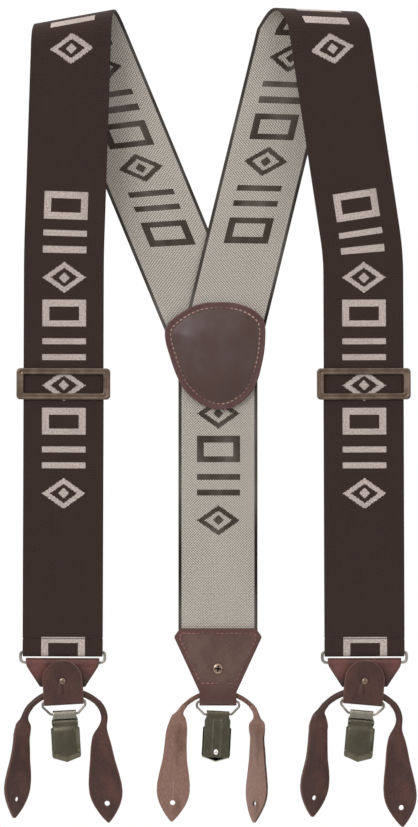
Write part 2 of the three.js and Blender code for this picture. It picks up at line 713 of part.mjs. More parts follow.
function rearEnd() {
  const middle = (patchTop + patchBottom) / 2;
  const offset = layerStep / 2 + webThickness / 2 + gap + patchThickness / 2;
  for (const [name, hand] of [['inner', -1], ['outer', 1]]) {
    const patch = piece(root, `${name}_patch`, 'leather', acrossY(patchShape(), patchThickness, 9));
    patch.position.set(patchX, backY + hand * offset, middle);
  }
  const low = rearBail + rearYokeTall - rearStrapInset;
  const strap = piece(root, 'rear_strap', 'webbing', new THREE.BoxGeometry(webWidth, webThickness, rearTop - low));
  strap.position.set(rearX, backY, (rearTop + low) / 2);

  const group = child(root, rearX, backY, rearBail);
  piece(group, 'rear_yoke', 'leather', rearYoke());
  const over = webThickness / 2 + 2 * gap + leather;
  piece(group, 'rear_rivet', 'nickel', rivet(rivetShank, rearRivetHead, over)).position.z = rearRivetUp;
  buttonTabs(child(group, 0, 0, rearRunnerTop), 'rear', rearTabs, rearRunner, 0, 0);
  const turned = child(group, 0, 0, 0);
  turned.rotation.z = Math.PI;
  clip(turned, 'rear', -radians(rearTilt));
}

sides.forEach(frontEnd);
rearEnd();

export default root;
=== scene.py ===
import math

import bmesh
import bpy
from mathutils import Matrix, Vector, noise


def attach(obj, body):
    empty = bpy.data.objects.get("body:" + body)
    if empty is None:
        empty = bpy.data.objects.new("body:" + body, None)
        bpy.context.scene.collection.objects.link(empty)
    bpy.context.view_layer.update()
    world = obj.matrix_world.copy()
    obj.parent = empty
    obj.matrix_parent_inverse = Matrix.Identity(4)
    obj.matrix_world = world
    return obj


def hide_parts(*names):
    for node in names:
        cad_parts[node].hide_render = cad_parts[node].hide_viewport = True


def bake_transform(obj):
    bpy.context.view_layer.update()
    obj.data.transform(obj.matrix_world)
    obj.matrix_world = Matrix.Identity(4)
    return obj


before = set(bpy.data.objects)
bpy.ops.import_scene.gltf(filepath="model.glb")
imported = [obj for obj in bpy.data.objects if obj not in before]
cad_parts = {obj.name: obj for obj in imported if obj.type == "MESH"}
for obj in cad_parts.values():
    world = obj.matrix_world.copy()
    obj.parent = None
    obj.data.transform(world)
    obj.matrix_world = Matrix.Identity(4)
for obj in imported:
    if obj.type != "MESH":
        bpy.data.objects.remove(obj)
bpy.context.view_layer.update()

# Sizes are in millimetres until a mesh is made, front is -Y, and left and right are as seen from the front.
metre = 0.001
gap = 0.3  # air between pieces that touch
webHalf = 25  # half the webbing's width
webThick = 1.6
leather = 1.6
ringWire = 2.2
bailWire = 1.8
layerStep = webThick + gap
foldMiddle = 11 + webThick / 2  # the shoulder fold's radius, to the middle of the webbing
backY = foldMiddle + layerStep / 2
ringY = -foldMiddle + webThick / 2 + gap + ringWire / 2
farFromEdge = 9  # kept by points of a piece that has no cut edge


studio = {
    "aim": (0.94, -11.8, -251.9),
    "away": 2153.75,
    "lens": 150,
    "floorZ": -660,
    "floorHalf": 390,
    "key": {"at": (-900, -1300, 500), "size": 900, "watts": 13},
    "fill": {"at": (1100, -900, -100), "size": 1200, "watts": 5},
    "top": {"at": (100, -150, 1100), "size": 900, "watts": 7},
    "back": {"at": (300, 1300, 300), "size": 1200, "watts": 7},
}


def makeStudio():
    cameraData = bpy.data.cameras.new("camera")
    cameraData.lens = studio["lens"]
    cameraData.sensor_width = 36
    camera = bpy.data.objects.new("camera", cameraData)
    aim = Vector(studio["aim"])
    camera.location = (aim + Vector((0, -studio["away"], 0))) * metre
    camera.rotation_euler = (math.pi / 2, 0, 0)
    bpy.context.scene.collection.objects.link(camera)
    bpy.context.scene.camera = camera
    bpy.context.scene.view_settings.view_transform = "Standard"
    for name in ("key", "fill", "top", "back"):
        lamp = studio[name]
        data = bpy.data.lights.new(name, "AREA")
        data.energy = lamp["watts"]
        data.size = lamp["size"] * metre
        light = bpy.data.objects.new(name, data)
        light.location = Vector(lamp["at"]) * metre
        towards = aim * metre - light.location
        light.rotation_euler = towards.to_track_quat("-Z", "Y").to_euler()
        bpy.context.scene.collection.objects.link(light)


def srgb(red, green, blue):
    levels = [level / 255 for level in (red, green, blue)]
    return tuple(x / 12.92 if x < 0.0405 else ((x + 0.055) / 1.055) ** 2.4 for x in levels) + (1,)


class Signal:
    # A socket, with sums that add their own nodes.
    def __init__(self, paint, socket):
        self.paint = paint
        self.socket = socket

    def math(self, operation, *values):
        return self.paint.node("Math", {"operation": operation}, dict(enumerate(values)))

    def __add__(self, other):
        return self.math("ADD", self, other)

    def __sub__(self, other):
        return self.math("SUBTRACT", self, other)

    def __rsub__(self, other):
        return self.math("SUBTRACT", other, self)

    def __mul__(self, other):
        return self.math("MULTIPLY", self, other)

    def __truediv__(self, other):
        return self.math("DIVIDE", self, other)

    def __mod__(self, other):
        return self.math("FLOORED_MODULO", self, other)

    def __abs__(self):
        return self.math("ABSOLUTE", self)

    def __lt__(self, other):
        return self.math("LESS_THAN", self, other)

    def __gt__(self, other):
        return self.math("GREATER_THAN", self, other)

    __radd__ = __add__
    __rmul__ = __mul__


class Paint:
    # A node material, or the world, under construction.
    def __init__(self, name, owner=None):
        self.owner = owner or bpy.data.materials.new(name)
        self.owner.use_nodes = True
        self.tree = self.owner.node_tree
        self.tree.nodes.clear()

    def node(self, kind, settings, sockets, output=0):
        made = self.tree.nodes.new("ShaderNode" + kind)
        for key, value in settings.items():
            setattr(made, key, value)
        for key, value in sockets.items():
            if isinstance(value, Signal):
                self.tree.links.new(value.socket, made.inputs[key])
            else:
                made.inputs[key].default_value = value
        return Signal(self, made.outputs[output]) if len(made.outputs) else None

    def flat(self):
        # Where a point lies on the piece before it was bent: across, along and through, in millimetres.
        place = self.node("Attribute", {"attribute_name": "flat"}, {}, "Vector")
        parts = [self.node("SeparateXYZ", {}, {0: place}, axis) for axis in "XYZ"]
        return place, parts

    def rim(self):
        # Millimetres in from the nearest cut edge.
        return self.node("Attribute", {"attribute_name": "rim"}, {}, "Fac")

    def mix(self, share, first, second):
        return self.node("Mix", {"data_type": "RGBA"}, {0: share, 6: first, 7: second}, 2)

    def stretch(self, place, scale):
        return self.node("VectorMath", {"operation": "MULTIPLY"}, {0: place, 1: scale})

    def noise(self, place, scale, detail=2.0, rough=0.5):
        return self.node("TexNoise", {}, {"Vector": place, "Scale": scale, "Detail": detail,
                                          "Roughness": rough})

    def ease(self, value, low, high, start=0.0, end=1.0):
        return self.node("MapRange", {"interpolation_type": "SMOOTHSTEP"},
                         {0: value, 1: low, 2: high, 3: start, 4: end})

    def bump(self, height, strength, distance):
        return self.node("Bump", {}, {"Height": height, "Strength": strength, "Distance": distance * metre})

    def done(self, **sockets):
        names = {"colour": "Base Color", "roughness": "Roughness", "metallic": "Metallic", "normal": "Normal",
                 "specular": "Specular IOR Level", "coat": "Coat Weight", "coatRoughness": "Coat Roughness",
                 "sheen": "Sheen Weight", "sheenRoughness": "Sheen Roughness"}
        shader = self.node("BsdfPrincipled", {}, {names[key]: value for key, value in sockets.items()})
        self.node("OutputMaterial", {}, {0: shader})
        return self.owner


motif = {"repeat": 278, "start": 87.6, "cell": 22.5, "cells": 9, "half": 13.5, "stroke": 4, "thread": 0.62,
         "lozenge": 9.6, "dot": 3.4, "bar": 5.0, "box": 8.4}


def stepped(paint, value, lead):
    # The weave can only draw in whole threads; lead keeps the counting above zero.
    return paint.node("Math", {"operation": "SNAP"}, {0: value + lead, 1: motif["thread"]}) - lead


def figures(paint, across, along):
    # A row of lozenges, paired bars and frames runs along the band, then a plain stretch.
    stepX = stepped(paint, across, 500.0)
    stepY = stepped(paint, along, 5560.0)
    within = (stepY - motif["start"]) % motif["repeat"]
    shown = within < motif["cell"] * motif["cells"]
    u = abs(within % motif["cell"] - motif["cell"] / 2)
    v = abs(stepX)
    kind = paint.node("Math", {"operation": "FLOOR"}, {0: within / motif["cell"]}) % 3.0
    half, stroke, side = motif["half"], motif["stroke"], motif["box"]
    reach = u / motif["lozenge"] + v / half
    lozenge = (reach < 1.0) * (reach > 1.0 - 1.25 * stroke / half) + (u + v < motif["dot"])
    bars = (abs(u - motif["bar"]) < stroke / 2) * (v < half)
    box = (u < side) * (v < half) * (1.0 - (u < side - stroke) * (v < half - stroke))
    first, last = kind < 0.5, kind > 1.5
    return shown * (lozenge * first + bars * (1.0 - first) * (1.0 - last) + box * last)


def webbingPaint(name, ground, figure, weave, fleck, dots=0.3):
    paint = Paint(name)
    place, (across, along, through) = paint.flat()
    mask = figures(paint, across, along)
    grain = paint.noise(paint.stretch(place, (1.3, 0.9, 0.0)), 1.0, 3.0, 0.7)
    cloudy = paint.noise(paint.stretch(place, (0.05, 0.02, 0.0)), 1.0, 2.0)
    ribs = paint.node("Math", {"operation": "SINE"}, {0: across * (2 * math.pi / weave)})
    picks = paint.node("Math", {"operation": "SINE"}, {0: along * (2 * math.pi / weave)})
    specks = ribs * picks * dots + (grain - 0.5) * 2.0
    under = paint.mix(paint.ease(specks, -fleck, fleck), ground[0], ground[1])
    over = paint.mix(paint.ease(grain, 0.35, 0.65), figure[0], figure[1])
    colour = paint.mix(mask, under, over)
    edge = abs(across)
    if len(ground) > 2:
        colour = paint.mix(paint.ease(edge, 22.7, 23.3), colour, ground[2])
    colour = paint.mix(paint.ease(cloudy, 0.35, 0.75, 0.0, 0.16), colour, ground[1])
    colour = paint.mix(paint.ease(ribs * picks, -1.0, 1.0, 0.14, 0.0), colour, srgb(20, 16, 14))
    height = ribs * 0.5 + picks * 0.35 + grain * 0.9 + mask * 0.5 + paint.ease(edge, 22.6, 24.4) * 0.9
    return paint.done(colour=colour, roughness=paint.ease(grain, 0.3, 0.7, 0.82, 0.97), specular=0.15,
                      sheen=0.08, sheenRoughness=0.45, normal=paint.bump(height, 0.55, 0.28))


def leatherPaint(name, dark, light, edge, shine, pebble, creases, gloss, shade=None, border=None):
    paint = Paint(name)
    place, (across, along, through) = paint.flat()
    cloudy = paint.noise(paint.stretch(place, (0.06, 0.045, 0.06)), 1.0, 4.0, 0.6)
    pores = paint.noise(place, 1.0 / pebble, 3.0, 0.65)
    cells = paint.node("TexVoronoi", {"feature": "DISTANCE_TO_EDGE"},
                       {"Vector": place, "Scale": 1.0 / pebble})
    wrinkle = paint.noise(paint.stretch(place, (0.5, 0.12, 0.5)), 1.0, 4.0, 0.6)
    colour = paint.mix(paint.ease(cloudy, 0.36, 0.66), dark, light)
    colour = paint.mix(paint.ease(pores, 0.42, 0.7, 0.0, 0.35), colour, light)
    # Painted shade: darker along the edges of the grain cells, the grooves that the bump below sinks.
    colour = paint.mix(paint.ease(cells, 0.0, 0.12, 0.32, 0.0), colour, srgb(38, 24, 21))
    rubbed = paint.ease(paint.rim() + cloudy * 0.8 - 0.4, 0.1, 0.9, 0.55, 0.0)
    colour = paint.mix(rubbed, colour, edge)
    if border:
        near = paint.ease(paint.rim() + cloudy * 2.0, border["reach"], 1.5, 0.0, border["share"])
        colour = paint.mix(near, colour, border["colour"])
    if shade:
        # Darker by distance along the piece from its fold: painted shade towards the front yoke's lower
        # corners, which turn back under the flap, and a darker, redder tone near the rear leather's fold
        # round the bail.
        away = abs(along - shade["fold"])
        shadeAndToneShare = paint.ease(away, shade["near"], shade["far"], 0.0, shade["share"])
        colour = paint.mix(shadeAndToneShare, colour, shade["colour"])
    roughness = paint.ease(cloudy, 0.3, 0.7, shine, shine + 0.14) + paint.ease(cells, 0.0, 0.1, 0.12, 0.0)
    height = paint.ease(cells, 0.0, 0.22) * 0.5 + pores * 0.35 + wrinkle * creases
    coat = paint.ease(cloudy, 0.3, 0.7, gloss, gloss * 0.3)
    return paint.done(colour=colour, roughness=roughness, specular=0.3, coat=coat, coatRoughness=0.3,
                      normal=paint.bump(height, 0.5, 0.22))


def fleshPaint(name, dark, light, stain):
    paint = Paint(name)
    place, (across, along, through) = paint.flat()
    fibres = paint.noise(paint.stretch(place, (1.6, 0.5, 1.0)), 1.0, 5.0, 0.75)
    cloudy = paint.noise(paint.stretch(place, (0.07, 0.035, 0.1)), 1.0, 3.0)
    colour = paint.mix(paint.ease(fibres, 0.35, 0.68), dark, light)
    colour = paint.mix(paint.ease(cloudy, 0.5, 0.72, 0.0, 0.6), colour, stain)
    return paint.done(colour=colour, roughness=0.95, specular=0.15, sheen=0.3, sheenRoughness=0.5,
                      normal=paint.bump(fibres + cloudy * 0.4, 0.7, 0.3))


def metalPaint(name, dark, bright, roughness, streak, wear=0.5):
    paint = Paint(name)
    place = paint.node("TexCoord", {}, {}, "Object")
    wide = paint.stretch(place, tuple(1000 * x for x in streak))
    drawn = paint.noise(wide, 1.0, 3.0, 0.6)
    patina = paint.noise(place, 150.0, 2.0, 0.5)
    spots = paint.noise(place, 1500.0, 2.0, 0.6)
    colour = paint.mix(paint.ease(patina, 0.3, 0.75), dark, bright)
    colour = paint.mix(paint.ease(spots, 0.6, 0.72, 0.0, wear), colour, dark)
    rough = paint.ease(patina, 0.3, 0.7, roughness + 0.1, roughness) + paint.ease(drawn, 0.3, 0.7, 0.0, 0.08)
    return paint.done(colour=colour, metallic=1.0, roughness=rough,
                      normal=paint.bump(drawn + spots * 0.3, 0.25, 0.05))


def threadPaint(name, dark, light):
    paint = Paint(name)
    place = paint.node("TexCoord", {}, {}, "Object")
    strands = paint.noise(place, 2600.0, 3.0, 0.6)
    worn = paint.noise(place, 55.0, 1.0)
    colour = paint.mix(paint.ease(strands * 0.4 + worn * 0.8, 0.46, 0.78), dark, light)
    return paint.done(colour=colour, roughness=0.6, sheen=0.3, sheenRoughness=0.4,
                      normal=paint.bump(strands, 0.6, 0.12))


def rubberPaint(name):
    paint = Paint(name)
    place = paint.node("TexCoord", {}, {}, "Object")
    lines = paint.node("TexWave", {"bands_direction": "Z"},
                       {"Vector": place, "Scale": 260.0, "Distortion": 0.4})
    dust = paint.noise(place, 700.0, 3.0)
    return paint.done(colour=paint.mix(dust, srgb(26, 25, 24), srgb(44, 42, 40)), roughness=0.8,
                      normal=paint.bump(lines, 0.8, 0.3))


def groundPaint(name):
    paint = Paint(name)
    place = paint.node("TexCoord", {}, {}, "Object")
    colour = paint.mix(paint.noise(place, 3.0, 2.0), srgb(244, 243, 241), srgb(250, 250, 249))
    return paint.done(colour=colour, roughness=0.9)


def skyPaint():
    # White behind everything, and a soft box of light from above and the front for the metal to reflect.
    world = bpy.data.worlds.new("studioAir")
    bpy.context.scene.world = world
    sky = Paint("sky", world)
    way = sky.node("TexCoord", {}, {}, "Generated")
    across, deep, high = [sky.node("SeparateXYZ", {}, {0: way}, axis) for axis in "XYZ"]
    glow = sky.ease(high * 0.75 - across * 0.5 - deep * 0.15, -0.75, 0.8, 0.34, 0.98)
    seen = sky.node("LightPath", {}, {}, "Is Camera Ray")
    white = sky.node("Background", {}, {0: (1, 1, 1, 1), 1: 1.0})
    soft = sky.node("Background", {}, {0: (1, 0.99, 0.975, 1), 1: glow})
    both = sky.node("MixShader", {}, {0: seen, 1: soft, 2: white})
    sky.node("OutputWorld", {}, {0: both})


makeStudio()
skyPaint()
print("studio ready")

paints = {
    "face": webbingPaint("webbingFace", (srgb(35, 25, 22), srgb(60, 45, 40)),
                         (srgb(150, 137, 132), srgb(194, 181, 176)), 1.7, 0.5),
    "reverse": webbingPaint("webbingReverse", (srgb(114, 107, 98), srgb(191, 185, 177), srgb(36, 28, 24)),
                            (srgb(46, 38, 31), srgb(64, 54, 46)), 1.7, 0.8, 0.8),
    "edgeWeb": webbingPaint("webbingEdge", (srgb(40, 31, 27), srgb(58, 47, 41)),
                            (srgb(42, 33, 29), srgb(58, 46, 41)), 1.2, 0.5),
    "hide": leatherPaint("oiledHide", srgb(52, 28, 24), srgb(75, 45, 38), srgb(104, 72, 60), 0.4,
                         1.1, 0.5, 0.1),
    # The yoke's shade entry is painted shade: darker towards both ends of the piece, its lower corners, far
    # from the fold over the ring.
    "yokeHide": leatherPaint("redderHide", srgb(64, 34, 31), srgb(98, 57, 52), srgb(104, 66, 58), 0.38,
                             1.1, 0.5, 0.12, {"fold": 18.5, "near": 9, "far": 17, "share": 0.85,
                                              "colour": srgb(38, 24, 22)}),
    "patchHide": leatherPaint("polishedHide", srgb(56, 31, 25), srgb(66, 40, 32), srgb(84, 48, 42), 0.36,
                              0.8, 0.1, 1.0,
                              border={"reach": 6.5, "share": 0.85, "colour": srgb(74, 36, 34)}),
    "rearHide": leatherPaint("rearHide", srgb(76, 50, 44), srgb(94, 70, 63), srgb(88, 56, 50), 0.36,
                             1.0, 0.3, 0.2, {"fold": 48.5, "near": 20, "far": 4, "share": 0.7,
                                             "colour": srgb(66, 36, 32)},
                             {"reach": 6, "share": 0.7, "colour": srgb(76, 42, 38)}),
    "rawEdge": fleshPaint("rawEdge", srgb(58, 38, 32), srgb(92, 66, 56), srgb(46, 30, 26)),
    "flesh": fleshPaint("fleshSide", srgb(112, 84, 74), srgb(132, 103, 92), srgb(72, 48, 40)),
    "innerFlesh": fleshPaint("innerFleshSide", srgb(84, 58, 50), srgb(112, 82, 72), srgb(60, 40, 34)),
    "bronze": metalPaint("agedBronze", srgb(92, 77, 68), srgb(116, 100, 90), 0.34, (0.4, 3.0, 3.0), 0.15),
    "wire": metalPaint("dullWire", srgb(112, 106, 100), srgb(168, 162, 156), 0.26, (0.4, 3.0, 3.0)),
    "gunmetal": metalPaint("darkGunmetal", srgb(84, 80, 67), srgb(98, 94, 81), 0.2, (3.0, 3.0, 0.25), 0.08),
    # The steel is a brighter copy of the gunmetal: painted highlight on the front clips' plates and on the
    # cut edges of every clip sheet.
    "steel": metalPaint("steelPaintedHighlight", srgb(130, 126, 114), srgb(152, 148, 136), 0.2, (3.0, 3.0, 0.3), 0.08),
    "nickel": metalPaint("brightNickel", srgb(204, 198, 192), srgb(232, 227, 222), 0.22,
                         (2.0, 2.0, 2.0), 0.1),
    "rivet": metalPaint("rivetBronze", srgb(112, 94, 84), srgb(150, 130, 118), 0.2, (2.0, 2.0, 2.0), 0.2),
    "recess": metalPaint("recessShade", srgb(20, 16, 14), srgb(36, 30, 27), 0.7, (2.0, 2.0, 2.0), 0.3),
    "thread": threadPaint("sewingThread", srgb(96, 56, 50), srgb(172, 134, 122)),
    "darkThread": threadPaint("darkThread", srgb(78, 42, 40), srgb(128, 82, 76)),
    "pad": rubberPaint("jawPad"),
    "floor": groundPaint("floorCard"),
}
print("materials ready:", len(paints))


def makePiece(name, points, faces, looks, faceLooks=None, smooth=True):
    mesh = bpy.data.meshes.new(name)
    mesh.from_pydata([tuple(point) for point in points], [], faces)
    for look in looks:
        mesh.materials.append(paints[look])
    if faceLooks:
        mesh.polygons.foreach_set("material_index", faceLooks)
    mesh.polygons.foreach_set("use_smooth", [smooth] * len(mesh.polygons))
    mesh.update()
    piece = bpy.data.objects.new(name, mesh)
    bpy.context.scene.collection.objects.link(piece)
    return piece


def settle(piece):
    # Works the piece's modifiers into its mesh.
    graph = bpy.context.evaluated_depsgraph_get()
    mesh = bpy.data.meshes.new_from_object(piece.evaluated_get(graph), preserve_all_data_layers=True,
                                           depsgraph=graph)
    piece.modifiers.clear()
    piece.data = mesh


def rounded(piece, width, segments=2, angle=40):
    bevel = piece.modifiers.new("edges", "BEVEL")
    bevel.width = width
    bevel.segments = segments
    bevel.limit_method = "ANGLE"
    bevel.angle_limit = math.radians(angle)
    settle(piece)


def carve(piece, cutters):
    for cutter in cutters:
        cut = piece.modifiers.new("cut", "BOOLEAN")
        cut.operation = "DIFFERENCE"
        cut.solver = "EXACT"
        cut.material_mode = "TRANSFER"
        cut.object = cutter
    settle(piece)
    for cutter in cutters:
        bpy.data.objects.remove(cutter)


def lay(piece, place, rim=None):
    # Keeps each point's flat place for the materials, then bends the piece into position.
    mesh = piece.data
    spots = [vertex.co.copy() for vertex in mesh.vertices]
    remember(mesh, spots, [rim(spot) if rim else farFromEdge for spot in spots])
    for vertex, spot in zip(mesh.vertices, spots):
        vertex.co = place(spot) * metre
    faceOut(mesh)
    mesh.polygons.foreach_set("use_smooth", [True] * len(mesh.polygons))
    return piece


def remember(mesh, spots, rims):
    # The flat place of each point and its distance from a cut edge, for the materials.
    for name, kind in (("flat", "FLOAT_VECTOR"), ("rim", "FLOAT")):
        mesh.attributes.new(name, kind, "POINT")
    mesh.attributes["flat"].data.foreach_set("vector", [value for spot in spots for value in spot])
    mesh.attributes["rim"].data.foreach_set("value", rims)


def faceOut(mesh, merge=0.0):
    # Faces look outwards; points closer than merge become one.
    work = bmesh.new()
    work.from_mesh(mesh)
    if merge:
        bmesh.ops.remove_doubles(work, verts=work.verts, dist=merge)
    bmesh.ops.recalc_face_normals(work, faces=work.faces)
    work.to_mesh(mesh)
    work.free()
    mesh.update()


def shiftFlat(piece, move):
    # Moves the flat places of a finished piece, so that its pattern joins its neighbour's.
    for place in piece.data.attributes["flat"].data:
        place.vector = move(*place.vector)


def sharpen(piece, angle=35):
    piece.data.set_sharp_from_angle(angle=math.radians(angle))


def strip(name, alongs, edges, thickness, looks, columns=12):
    # A flat strip: edges(along) gives its left and right edge. Looks are for face, reverse and cut edge.
    even = [2 * i / columns - 1 for i in range(columns + 1)]
    shares = [math.sin(math.pi / 2 * share) * 0.35 + share * 0.65 for share in even]
    points, faces, faceLooks = [], [], []
    wide = columns + 1
    for level in (thickness / 2, -thickness / 2):
        for along in alongs:
            left, right = edges(along)
            middle, half = (left + right) / 2, (right - left) / 2
            points += [(middle + half * share, along, level) for share in shares]
    rows = len(alongs)
    below = rows * wide
    for row in range(rows - 1):
        for column in range(columns):
            a = row * wide + column
            faces.append((a, a + 1, a + wide + 1, a + wide))
            faces.append((below + a, below + a + wide, below + a + wide + 1, below + a + 1))
            faceLooks += [0, 1]
        for a, b in ((row * wide, (row + 1) * wide), ((row + 1) * wide + columns, row * wide + columns)):
            faces.append((a, b, below + b, below + a))
            faceLooks.append(2)
    for start, turn in ((0, 1), ((rows - 1) * wide, -1)):
        for column in range(columns):
            a, b = start + column, start + column + 1
            faces.append((b, a, below + a, below + b) if turn > 0 else (a, b, below + b, below + a))
            faceLooks.append(2)
    return makePiece(name, points, faces, looks, faceLooks)


def radial(name, outline, centre, thickness, looks):
    # A flat blank with a curved outline, meshed in rings round its centre that close up towards the edge.
    shares = (0, 0.2, 0.4, 0.55, 0.68, 0.78, 0.85, 0.9, 0.95, 1.0)
    count = len(outline)
    cx, cy = centre
    points, faces, faceLooks = [], [], []
    for level in (thickness / 2, -thickness / 2):
        points.append((cx, cy, level))
        for share in shares[1:]:
            points += [(cx + (x - cx) * share, cy + (y - cy) * share, level) for x, y in outline]
    half = len(points) // 2
    for side in (0, 1):
        base = side * half
        for i in range(count):
            j = (i + 1) % count
            inner = (base, base + 1 + i, base + 1 + j)
            faces.append(inner if side else inner[::-1])
            faceLooks.append(side)
            for ring in range(len(shares) - 2):
                a, b = base + 1 + ring * count, base + 1 + (ring + 1) * count
                quad = (a + i, b + i, b + j, a + j)
                faces.append(quad if side else quad[::-1])
                faceLooks.append(side)
    last = 1 + (len(shares) - 2) * count
    for i in range(count):
        j = (i + 1) % count
        faces.append((last + i, last + j, half + last + j, half + last + i))
        faceLooks.append(2)
    return makePiece(name, points, faces, looks, faceLooks)


def sweep(name, path, radius, look, closed, sides):
    # Round stock along a path. The radius is a number, or a function of the share gone and the turn.
    count = len(path)
    points, faces, flats = [], [], []
    upward = Vector((0, 1, 0))
    gone = 0
    for i, point in enumerate(path):
        before = path[i - 1] if i or closed else path[0]
        after = path[(i + 1) % count] if i < count - 1 or closed else path[-1]
        ahead = (after - before).normalized()
        out = (upward - ahead * upward.dot(ahead)).normalized()
        side = ahead.cross(out)
        gone += (point - before).length if i else 0
        for k in range(sides):
            turn = 2 * math.pi * k / sides
            size = radius(i / (count - 1), turn) if callable(radius) else radius
            points.append(point + (out * math.cos(turn) + side * math.sin(turn)) * size)
            flats.append((turn * 2.1, gone, 0))
    for i in range(count if closed else count - 1):
        for k in range(sides):
            a, b = i * sides, (i + 1) % count * sides
            n = (k + 1) % sides
            faces.append((a + k, a + n, b + n, b + k))
    if not closed:
        faces.append(tuple(range(sides))[::-1])
        faces.append(tuple((count - 1) * sides + k for k in range(sides)))
    piece = makePiece(name, [point * metre for point in points], faces, [look])
    remember(piece.data, flats, [farFromEdge] * len(flats))
    faceOut(piece.data)
    return piece


def lathe(name, profile, matrix, look, sides=32):
    # Turned round Y; profile is (radius, y) from front to back.
    points, faces = [], []
    for radius, y in profile:
        for k in range(sides):
            turn = 2 * math.pi * k / sides
            points.append(matrix @ Vector((radius * math.cos(turn), y, radius * math.sin(turn))) * metre)
    for row in range(len(profile) - 1):
        for k in range(sides):
            n = (k + 1) % sides
            a, b = row * sides, (row + 1) * sides
            faces.append((a + k, a + n, b + n, b + k))
    faces.append(tuple(range(sides))[::-1])
    faces.append(tuple((len(profile) - 1) * sides + k for k in range(sides)))
    piece = makePiece(name, points, faces, [look])
    faceOut(piece.data, 1e-6)
    sharpen(piece, 40)
    return piece


def prism(name, outline, low, high, look="rawEdge"):
    # A flat outline with a straight edge; also what holes and slots are cut with.
    count = len(outline)
    points = [(x, y, low) for x, y in outline] + [(x, y, high) for x, y in outline]
    faces = [tuple(range(count))[::-1], tuple(range(count, 2 * count))]
    faces += [(i, (i + 1) % count, count + (i + 1) % count, count + i) for i in range(count)]
    return makePiece(name, points, faces, [look], smooth=False)


def joined(name, pieces):
    # One piece from several made the same way.
    whole = bmesh.new()
    mesh = bpy.data.meshes.new(name)
    looks = []
    for piece in pieces:
        before = len(whole.faces)
        whole.from_mesh(piece.data)
        whole.faces.ensure_lookup_table()
        own = list(piece.data.materials)
        for material in own:
            if material not in looks:
                looks.append(material)
        for face in whole.faces[before:]:
            face.material_index = looks.index(own[face.material_index])
    whole.to_mesh(mesh)
    whole.free()
    for material in looks:
        mesh.materials.append(material)
    for piece in pieces:
        bpy.data.objects.remove(piece)
    result = bpy.data.objects.new(name, mesh)
    bpy.context.scene.collection.objects.link(result)
    return result


sewing = {"pitch": 3.0, "long": 2.1, "thick": 0.5, "rise": 0.24,
          "rings": [(0.0, 0.35, -0.25), (0.15, 0.85, 0.4), (0.5, 1.0, 1.0), (0.85, 0.85, 0.4),
                    (1.0, 0.35, -0.25)]}


def stitches(name, runs, place, look="thread"):
    # Rows of single stitches; each run is a list of flat points, laid on the face by place.
    points, faces = [], []
    for run in runs:
        lengths = [0]
        for a, b in zip(run, run[1:]):
            lengths.append(lengths[-1] + math.dist(a, b))
        for n in range(int(lengths[-1] / sewing["pitch"])):
            middle = (n + 0.5) * sewing["pitch"]
            ends = []
            for want in (middle - sewing["long"] / 2, middle + sewing["long"] / 2):
                k = max(i for i in range(len(lengths) - 1) if lengths[i] <= max(want, 0))
                share = (want - lengths[k]) / (lengths[k + 1] - lengths[k])
                ends.append(Vector(run[k]).lerp(Vector(run[k + 1]), share))
            along = (ends[1] - ends[0]).normalized()
            cross = Vector((-along.y, along.x))
            base = len(points)
            for share, fat, lift in sewing["rings"]:
                spot = ends[0].lerp(ends[1], share)
                for k in range(6):
                    turn = math.pi * k / 3
                    across = cross * math.cos(turn) * sewing["thick"] * fat
                    up = sewing["rise"] * lift + math.sin(turn) * sewing["thick"] * fat
                    points.append(place(Vector((spot.x + across.x, spot.y + across.y, up))) * metre)
            for ring in range(4):
                for k in range(6):
                    a, b, m = base + ring * 6, base + (ring + 1) * 6, (k + 1) % 6
                    faces.append((a + k, b + k, b + m, a + m))
            faces.append(tuple(base + k for k in range(6)))
            faces.append(tuple(base + 24 + k for k in range(6))[::-1])
    return makePiece(name, points, faces, [look])


def smoothstep(value, low, high):
    share = min(max((value - low) / (high - low), 0), 1)
    return share * share * (3 - 2 * share)


def table(rows, value):
    # Straight interpolation in a list of (place, value), in rising order of place.
    if value <= rows[0][0]:
        return rows[0][1]
    for (a, first), (b, second) in zip(rows, rows[1:]):
        if value <= b:
            share = (value - a) / (b - a)
            return first + (second - first) * share
    return rows[-1][1]


def arc(y, z, radius, start, end, count=10):
    turns = [start + (end - start) * i / count for i in range(count + 1)]
    return [(y + radius * math.cos(turn), z + radius * math.sin(turn)) for turn in turns]


def eased(points, rounds=2):
    # Cuts the corners off a line of points.
    for _ in range(rounds):
        cut = [points[0]]
        for (a, b), (c, d) in zip(points, points[1:]):
            if math.hypot(c - a, d - b) > 0.02:
                cut.append((a * 0.75 + c * 0.25, b * 0.75 + d * 0.25))
                cut.append((a * 0.25 + c * 0.75, b * 0.25 + d * 0.75))
        points = cut + [points[-1]]
    return points


